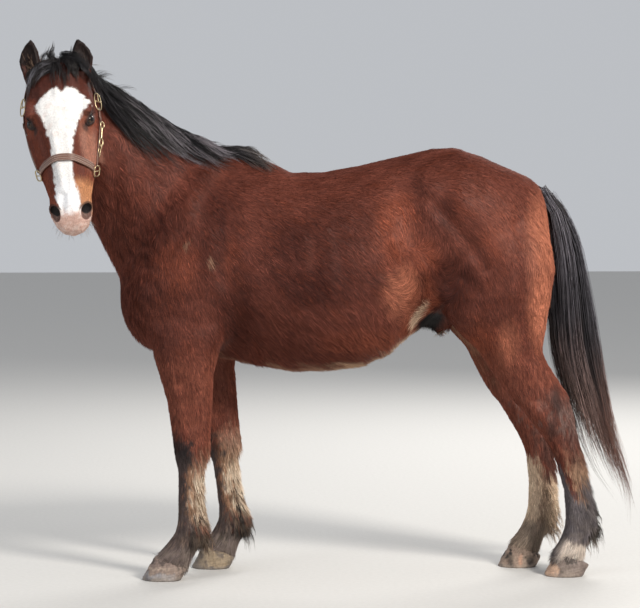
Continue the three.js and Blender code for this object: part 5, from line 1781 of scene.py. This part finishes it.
def rolled_section(width, thick):
    """The outline of a strap with three raised rolls along its outer face."""
    across = np.linspace(-0.5, 0.5, 31)
    top = thick / 2 + 2.2 * np.abs(np.cos(np.pi * 3 * across)) ** 0.7 - 0.4
    top[[0, -1]] = 0
    outer = np.stack([across * width, top], 1)
    return np.concatenate([outer, [[width / 2, -thick / 2], [-width / 2, -thick / 2]]])


def swept(line, out, section, lift, closed=False):
    """A strap along a line. lift is how far it stands off the line."""
    run = unit(np.roll(line, -1, 0) - np.roll(line, 1, 0) if closed else np.gradient(line, axis=0))
    across = unit(np.cross(run, out))
    out = np.cross(across, run)
    across, out = across[:, None] * section[None, :, :1], out[:, None] * (section[None, :, 1:] + lift)
    return tube(line[:, None] + across + out, closed)


def rod(line, facing, radius, closed=False, sides=12):
    """A round rod along a line, which runs round if it's closed."""
    turns = np.linspace(0, 2 * np.pi, sides, endpoint=False)
    section = radius * np.stack([np.cos(turns), np.sin(turns)], 1)
    return swept(line, np.broadcast_to(facing, line.shape), section, 0, closed)


def loop_line(middle, long, wide, half_long, half_wide, square=1.0, count=40):
    """A closed oval, or a rounded square as square falls below 1."""
    turns = np.linspace(0, 2 * np.pi, count, endpoint=False)
    c, s = np.cos(turns), np.sin(turns)
    return middle + (long * (np.sign(c) * np.abs(c) ** square * half_long)[:, None]
                     + wide * (np.sign(s) * np.abs(s) ** square * half_wide)[:, None])


def stitches(line, out, offset, lift, gap):
    """Small beads of thread along a strap."""
    run = unit(np.gradient(line, axis=0))
    across = unit(np.cross(run, out))
    out = np.cross(across, run)
    edge = line + across * offset + out * lift
    walk = np.concatenate([[0], np.cumsum(np.linalg.norm(np.diff(edge, axis=0), axis=1))])
    stops = np.arange(3, walk[-1] - 3, gap)
    shape, faces = ball(1)
    parts = []
    for stop in stops:
        axes = [unit(np.array([np.interp(stop, walk, v[:, i]) for i in range(3)])) for v in (run, across, out)]
        middle = np.array([np.interp(stop, walk, edge[:, i]) for i in range(3)])
        parts.append((middle + (shape * [1.7, 0.75, 0.6]) @ np.array(axes), faces))
    return joined(parts)


def halter_piece(name, parts, finish, slot, *replaced):
    points, triangles = joined(parts)
    made = mesh_object(name, at(points), triangles)
    dress(made, finish)
    if replaced:
        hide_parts(*replaced)


def ring_at(side, along, up, lift, turn):
    """A place on the side of the face, and the directions there: down the face, across it and out of it."""
    place, normal = hit_from(in_head(along, side * 300, up), in_head(along, 0, up))
    normal = unit(normal + turn * TO_FOREHEAD)
    down = unit(TO_MUZZLE - TO_MUZZLE @ normal * normal)
    return place + normal * lift, down, np.cross(normal, down), normal


NOSEBAND = (357, -82)  # along the head and up, where the noseband, its rings and the chin strap meet
THREAD_ROWS = (-4.2, 4.2, -11.6, 11.6)  # across the noseband, beside its middle roll and at its edges


def strap(name, hoop, section, lift, leather):
    halter_piece(name, [swept(*hoop, section, lift)], leather, "leather", name)


def halter_cheek(name, side, leather):
    line, out = cheek_line(side, ((150, -97), (250, -96), (345, -84)))
    keeper = slice(4, 7)
    parts = [swept(line, out, flat_section(19, 4.2), 4.0)]
    parts.append(swept(line[keeper], out[keeper], flat_section(24, 3.0), 7.0))
    halter_piece(name, parts, leather, "leather", name)


def halter_ring(name, side, brass):
    """The square ring and its bar at the end of the noseband."""
    place, down, wide, normal = ring_at(side, *NOSEBAND, 8, 0.25)
    long = unit(down + 0.3 * wide * side)
    wide = np.cross(normal, long)
    bar = place + wide * np.linspace(-14, 14, 9)[:, None]
    parts = [rod(loop_line(place, long, wide, 17, 17, 0.62), normal, 2.2, True), rod(bar, normal, 1.8)]
    halter_piece(name, parts, brass, "brass", name)


def halter_buckle(name, side, brass):
    """The crown's buckle: its rim, its bar and its tongue."""
    place, down, wide, normal = ring_at(side, 128, -84, 9, 0.6)
    rim = loop_line(place, down, wide, 29, 15, 0.8)
    bar = place + wide * np.linspace(-14, 14, 9)[:, None]
    tongue = place + down * np.linspace(-27, 0, 9)[:, None] + normal * 2.6
    parts = [rod(rim, normal, 1.8, True), rod(bar, normal, 2.3), rod(tongue, normal, 1.7)]
    halter_piece(name, parts, brass, "brass", name)


def halter_snap(brass):
    """The snap under the cheek: its body, hook and eye, and three links of chain."""
    place, down, wide, normal = ring_at(1, 232, -100, 10, 0.5)
    long = unit(down - 0.08 * wide)
    flat = np.cross(normal, long)
    parts = [
        rod(place + long * np.linspace(-24, 16, 12)[:, None], normal, 2.5),
        rod(loop_line(place + long * 27, long, flat, 13, 8.5, 0.9, 28), normal, 2.2, True),
        rod(loop_line(place - long * 31, long, flat, 10, 9, 0.9, 28), normal, 2.2, True),
    ]
    for i in range(3):
        middle = place + long * (44 + 13 * i) - wide * (4 + 3 * i) + normal * 1.5
        plane = flat if i % 2 else normal
        link = loop_line(middle, long, plane, 9, 5.5, 0.9, 24)
        parts.append(rod(link, np.cross(long, plane), 1.4, True, 8))
    halter_piece("halter_snap", parts, brass, "brass", "halter_snap")


def build_halter(leather, thread, brass):
    hoop = head_hoop(*NOSEBAND, (-0.31, 0.95), 13, 167, 60)
    strap("halter_noseband", hoop, rolled_section(25, 5), 3.4, leather)
    rows = [stitches(*hoop, offset, 6.3, 3.6) for offset in THREAD_ROWS]
    halter_piece("halter_stitches", rows, thread, "leather")
    hoop = head_hoop(*NOSEBAND, (0.25, -0.97), 14, 166, 40)
    strap("halter_chin_strap", hoop, flat_section(20, 4.5), 6.5, leather)
    hoop = head_hoop(108, -90, (-1, 0.02), 2, 178, 60)
    strap("halter_crown", hoop, flat_section(23, 4.5), 5.0, leather)
    for name, side in (("left", 1), ("right", -1)):
        halter_cheek("halter_cheek_" + name, side, leather)
        halter_ring("halter_ring_" + name, side, brass)
        halter_buckle("halter_buckle_" + name, side, brass)
    hoop = head_hoop(185, -130, (0.75, -0.66), -25, 40)
    strap("halter_throat_left", hoop, flat_section(13, 4), 4.5, leather)
    hoop = head_hoop(150, -168, (0.347, -0.938), 104, 200)
    strap("halter_throat_right", hoop, flat_section(13, 4), 4.5, leather)
    halter_snap(brass)


# ---------------- finishes

def new_group(name, inputs, outputs):
    """A new node group, and the sockets inside it for its inputs and its outputs."""
    group = bpy.data.node_groups.new(name, "ShaderNodeTree")
    for label, kind, value in inputs:
        socket = group.interface.new_socket(name=label, in_out="INPUT", socket_type=kind)
        socket.default_value = value
    for label, kind in outputs:
        group.interface.new_socket(name=label, in_out="OUTPUT", socket_type=kind)
    return group, group.nodes.new("NodeGroupInput").outputs, group.nodes.new("NodeGroupOutput").inputs


def add(net, kind, inputs=(), **settings):
    """A new node. A socket given for one of its inputs is linked, and anything else is set as its value."""
    node = net.nodes.new(kind)
    for key, value in settings.items():
        setattr(node, key, value)
    for key, value in dict(inputs).items():
        if isinstance(value, bpy.types.NodeSocket):
            net.links.new(value, node.inputs[key])
        else:
            node.inputs[key].default_value = value
    return node


def grain_group():
    """Makes a colour uneven, and gives a height for bumps. Size is the number of spots to a metre."""
    group, given, result = new_group(
        "grain",
        (("Colour", "NodeSocketColor", (0.5, 0.5, 0.5, 1)), ("Size", "NodeSocketFloat", 100.0),
         ("Strength", "NodeSocketFloat", 0.2)),
        (("Colour", "NodeSocketColor"), ("Height", "NodeSocketFloat")))
    place = add(group, "ShaderNodeTexCoord").outputs["Object"]
    noise = add(group, "ShaderNodeTexNoise", {"Vector": place, "Scale": given["Size"], "Detail": 4})
    ends = {0: 1, 1: given["Strength"]}
    low, high = (add(group, "ShaderNodeMath", ends, operation=way) for way in ("SUBTRACT", "ADD"))
    span = add(group, "ShaderNodeMapRange", {
        "Value": noise.outputs["Fac"], "From Min": 0.3, "From Max": 0.7,
        "To Min": low.outputs[0], "To Max": high.outputs[0]})
    scaled = add(group, "ShaderNodeVectorMath", {0: given["Colour"]}, operation="SCALE")
    group.links.new(span.outputs["Result"], scaled.inputs["Scale"])
    group.links.new(scaled.outputs["Vector"], result["Colour"])
    group.links.new(noise.outputs["Fac"], result["Height"])
    return group


def dust_group():
    """Lays dust in patches over a colour, most of it low down. Reach is how high it goes in metres."""
    group, given, result = new_group(
        "dust",
        (("Colour", "NodeSocketColor", (0.5, 0.5, 0.5, 1)), ("Dust", "NodeSocketColor", (0.45, 0.36, 0.27, 1)),
         ("Amount", "NodeSocketFloat", 0.3), ("Reach", "NodeSocketFloat", 0.2),
         ("Floor", "NodeSocketFloat", 0.0)),
        (("Colour", "NodeSocketColor"),))
    place = add(group, "ShaderNodeTexCoord").outputs["Object"]
    height = add(group, "ShaderNodeSeparateXYZ", {0: place}).outputs["Z"]
    above = add(group, "ShaderNodeMath", {0: height, 1: given["Floor"]}, operation="SUBTRACT")
    fall = add(group, "ShaderNodeMapRange", {
        "Value": above.outputs[0], "From Min": 0, "From Max": given["Reach"], "To Min": 1, "To Max": 0})
    noise = add(group, "ShaderNodeTexNoise", {"Vector": place, "Scale": 34, "Detail": 5}).outputs["Fac"]
    patch = add(group, "ShaderNodeMapRange", {"Value": noise, "From Min": 0.38, "From Max": 0.62})
    both = {0: fall.outputs["Result"], 1: patch.outputs["Result"]}
    both = {0: add(group, "ShaderNodeMath", both, operation="MULTIPLY").outputs[0], 1: given["Amount"]}
    cover = add(group, "ShaderNodeMath", both, operation="MULTIPLY", use_clamp=True)
    blend = add(group, "ShaderNodeMix", data_type="RGBA")
    for source, target in ((cover.outputs[0], "Factor"), (given["Colour"], 6), (given["Dust"], 7)):
        group.links.new(source, blend.inputs[target])
    group.links.new(blend.outputs[2], result["Colour"])
    return group


GRAIN = grain_group()
DUST = dust_group()


def finish_of(name, colour, roughness, size=120.0, strength=0.2, bump=0.0, depth=0.001, metal=0.0, specular=0.5,
              dust=0.0, reach=0.2):
    """A finish from a plain colour, or from the name of a colour laid on the points."""
    material = bpy.data.materials.new(name)
    material.use_nodes = True
    net = material.node_tree
    shader = net.nodes["Principled BSDF"]
    shader.inputs["Roughness"].default_value = roughness
    shader.inputs["Metallic"].default_value = metal
    shader.inputs["Specular IOR Level"].default_value = specular
    if isinstance(colour, str):
        colour = add(net, "ShaderNodeAttribute", attribute_name=colour).outputs["Color"]
    else:
        colour = (*colour, 1)
    uneven = {"Colour": colour, "Size": size, "Strength": strength}
    grain = add(net, "ShaderNodeGroup", uneven, node_tree=GRAIN)
    last = grain.outputs["Colour"]
    if dust:
        over = {"Colour": last, "Amount": dust, "Reach": reach, "Floor": float(ZERO[2])}
        last = add(net, "ShaderNodeGroup", over, node_tree=DUST).outputs["Colour"]
    net.links.new(last, shader.inputs["Base Color"])
    if bump:
        height = grain.outputs["Height"]
        raised = add(net, "ShaderNodeBump", {"Strength": bump, "Distance": depth, "Height": height})
        net.links.new(raised.outputs["Normal"], shader.inputs["Normal"])
    return material


HAIR_FINISH = finish_of(
    "coat", "coat_colour", 0.55, 420.0, 0.24, 0.35, 0.0008, specular=0.13, dust=0.22, reach=0.3)
LONG_FINISH = finish_of("long_hair", "coat_colour", 0.40, 700.0, 0.30, 0.2, 0.0005, specular=0.22)
FEATHER_FINISH = finish_of(
    "feather_hair", "coat_colour", 0.5, 500.0, 0.28, 0.2, 0.0005, specular=0.25, dust=0.22, reach=0.3)
SKIN_FINISH = finish_of(
    "skin", "skin_colour", 0.55, 260.0, 0.16, 0.4, 0.0009, specular=0.18, dust=0.2, reach=0.2)
EYE_FINISH = finish_of("eye", "eye_colour", 0.05, 900.0, 0.12, specular=0.3)
HORN_FINISH = finish_of(
    "horn", "horn_colour", 0.62, 160.0, 0.22, 0.5, 0.001, specular=0.3, dust=0.3, reach=0.06)
LEATHER = finish_of("leather", (0.135, 0.064, 0.045), 0.42, 260.0, 0.28, 0.35, 0.0006, specular=0.5)
THREAD = finish_of("thread", (0.52, 0.44, 0.37), 0.75, 900.0, 0.2, 0.3, 0.0003)
BRASS = finish_of("brass", (0.56, 0.45, 0.27), 0.34, 140.0, 0.16, 0.1, 0.0004, metal=1.0)

skin = mesh_object("skin", at(SKIN), SKIN_FACES)
skin.data.shade_smooth()
# The skin is the coat's colour darkened by a fifth: painted shade from the hair lying over it.
put_colour(skin, "skin_colour", coat_colour(SKIN, SKIN_NORMALS, OWNER) * 0.8)
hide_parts(*FLESH)
skin.data.materials.append(SKIN_FINISH)
coat_pieces(HAIR_FINISH)
tail_core(HAIR_FINISH)
tail_hair(LONG_FINISH)
mane_hair(LONG_FINISH)
mane_roots(LONG_FINISH)
mane_lock(LONG_FINISH)
forelock_hair(LONG_FINISH)
for number, which in enumerate(FEATHERS):
    feather_hair(which, FEATHER_FINISH, 350 + number)
for number, leg in enumerate(LEGS):
    coronet_hair(leg, FEATHER_FINISH, 360 + number)
face_whiskers(LONG_FINISH)
eyeball("eye_left", 1, EYE_FINISH)
eyeball("eye_right", -1, EYE_FINISH)
for name in HOOF_TONES:
    hoof(name, HORN_FINISH)
build_halter(LEATHER, THREAD, BRASS)

# ---------------- floor and light


def floor_and_light():
    floor = mesh_object("floor", np.array([[-20, -14, 0], [20, -14, 0], [20, 26, 0], [-20, 26, 0]], float),
                        np.array([[0, 1, 2, 3]]), None)
    floor.data.materials.append(finish_of("floor", (0.56, 0.55, 0.53), 0.85, 60.0, 0.03, specular=0.3))
    world = bpy.data.worlds.new("studio")
    world.use_nodes = True
    world.node_tree.nodes["Background"].inputs["Color"].default_value = (0.92, 0.95, 1.0, 1)
    world.node_tree.nodes["Background"].inputs["Strength"].default_value = 0.55
    bpy.context.scene.world = world
    lamps = (
        ("key", (4.6, -6.4, 5.6), (0.0, 0.0, 0.9), 1.8, 1000, (1.0, 0.955, 0.89)),
        ("fill", (-5.5, -5.0, 3.0), (-0.4, 0.0, 1.0), 4.0, 120, (0.93, 0.96, 1.0)),
        ("back", (2.5, 5.5, 4.8), (0.0, 0.0, 1.1), 3.0, 330, (1.0, 0.98, 0.95)),
    )
    for name, place, aim, size, power, colour in lamps:
        lamp = bpy.data.objects.new(name, bpy.data.lights.new(name, "AREA"))
        lamp.data.size, lamp.data.energy, lamp.data.color = size, power, colour
        lamp.location = place
        lamp.rotation_euler = (Vector(aim) - Vector(place)).to_track_quat("-Z", "Y").to_euler()
        bpy.context.scene.collection.objects.link(lamp)


floor_and_light()
bpy.context.scene.view_settings.view_transform = "Standard"
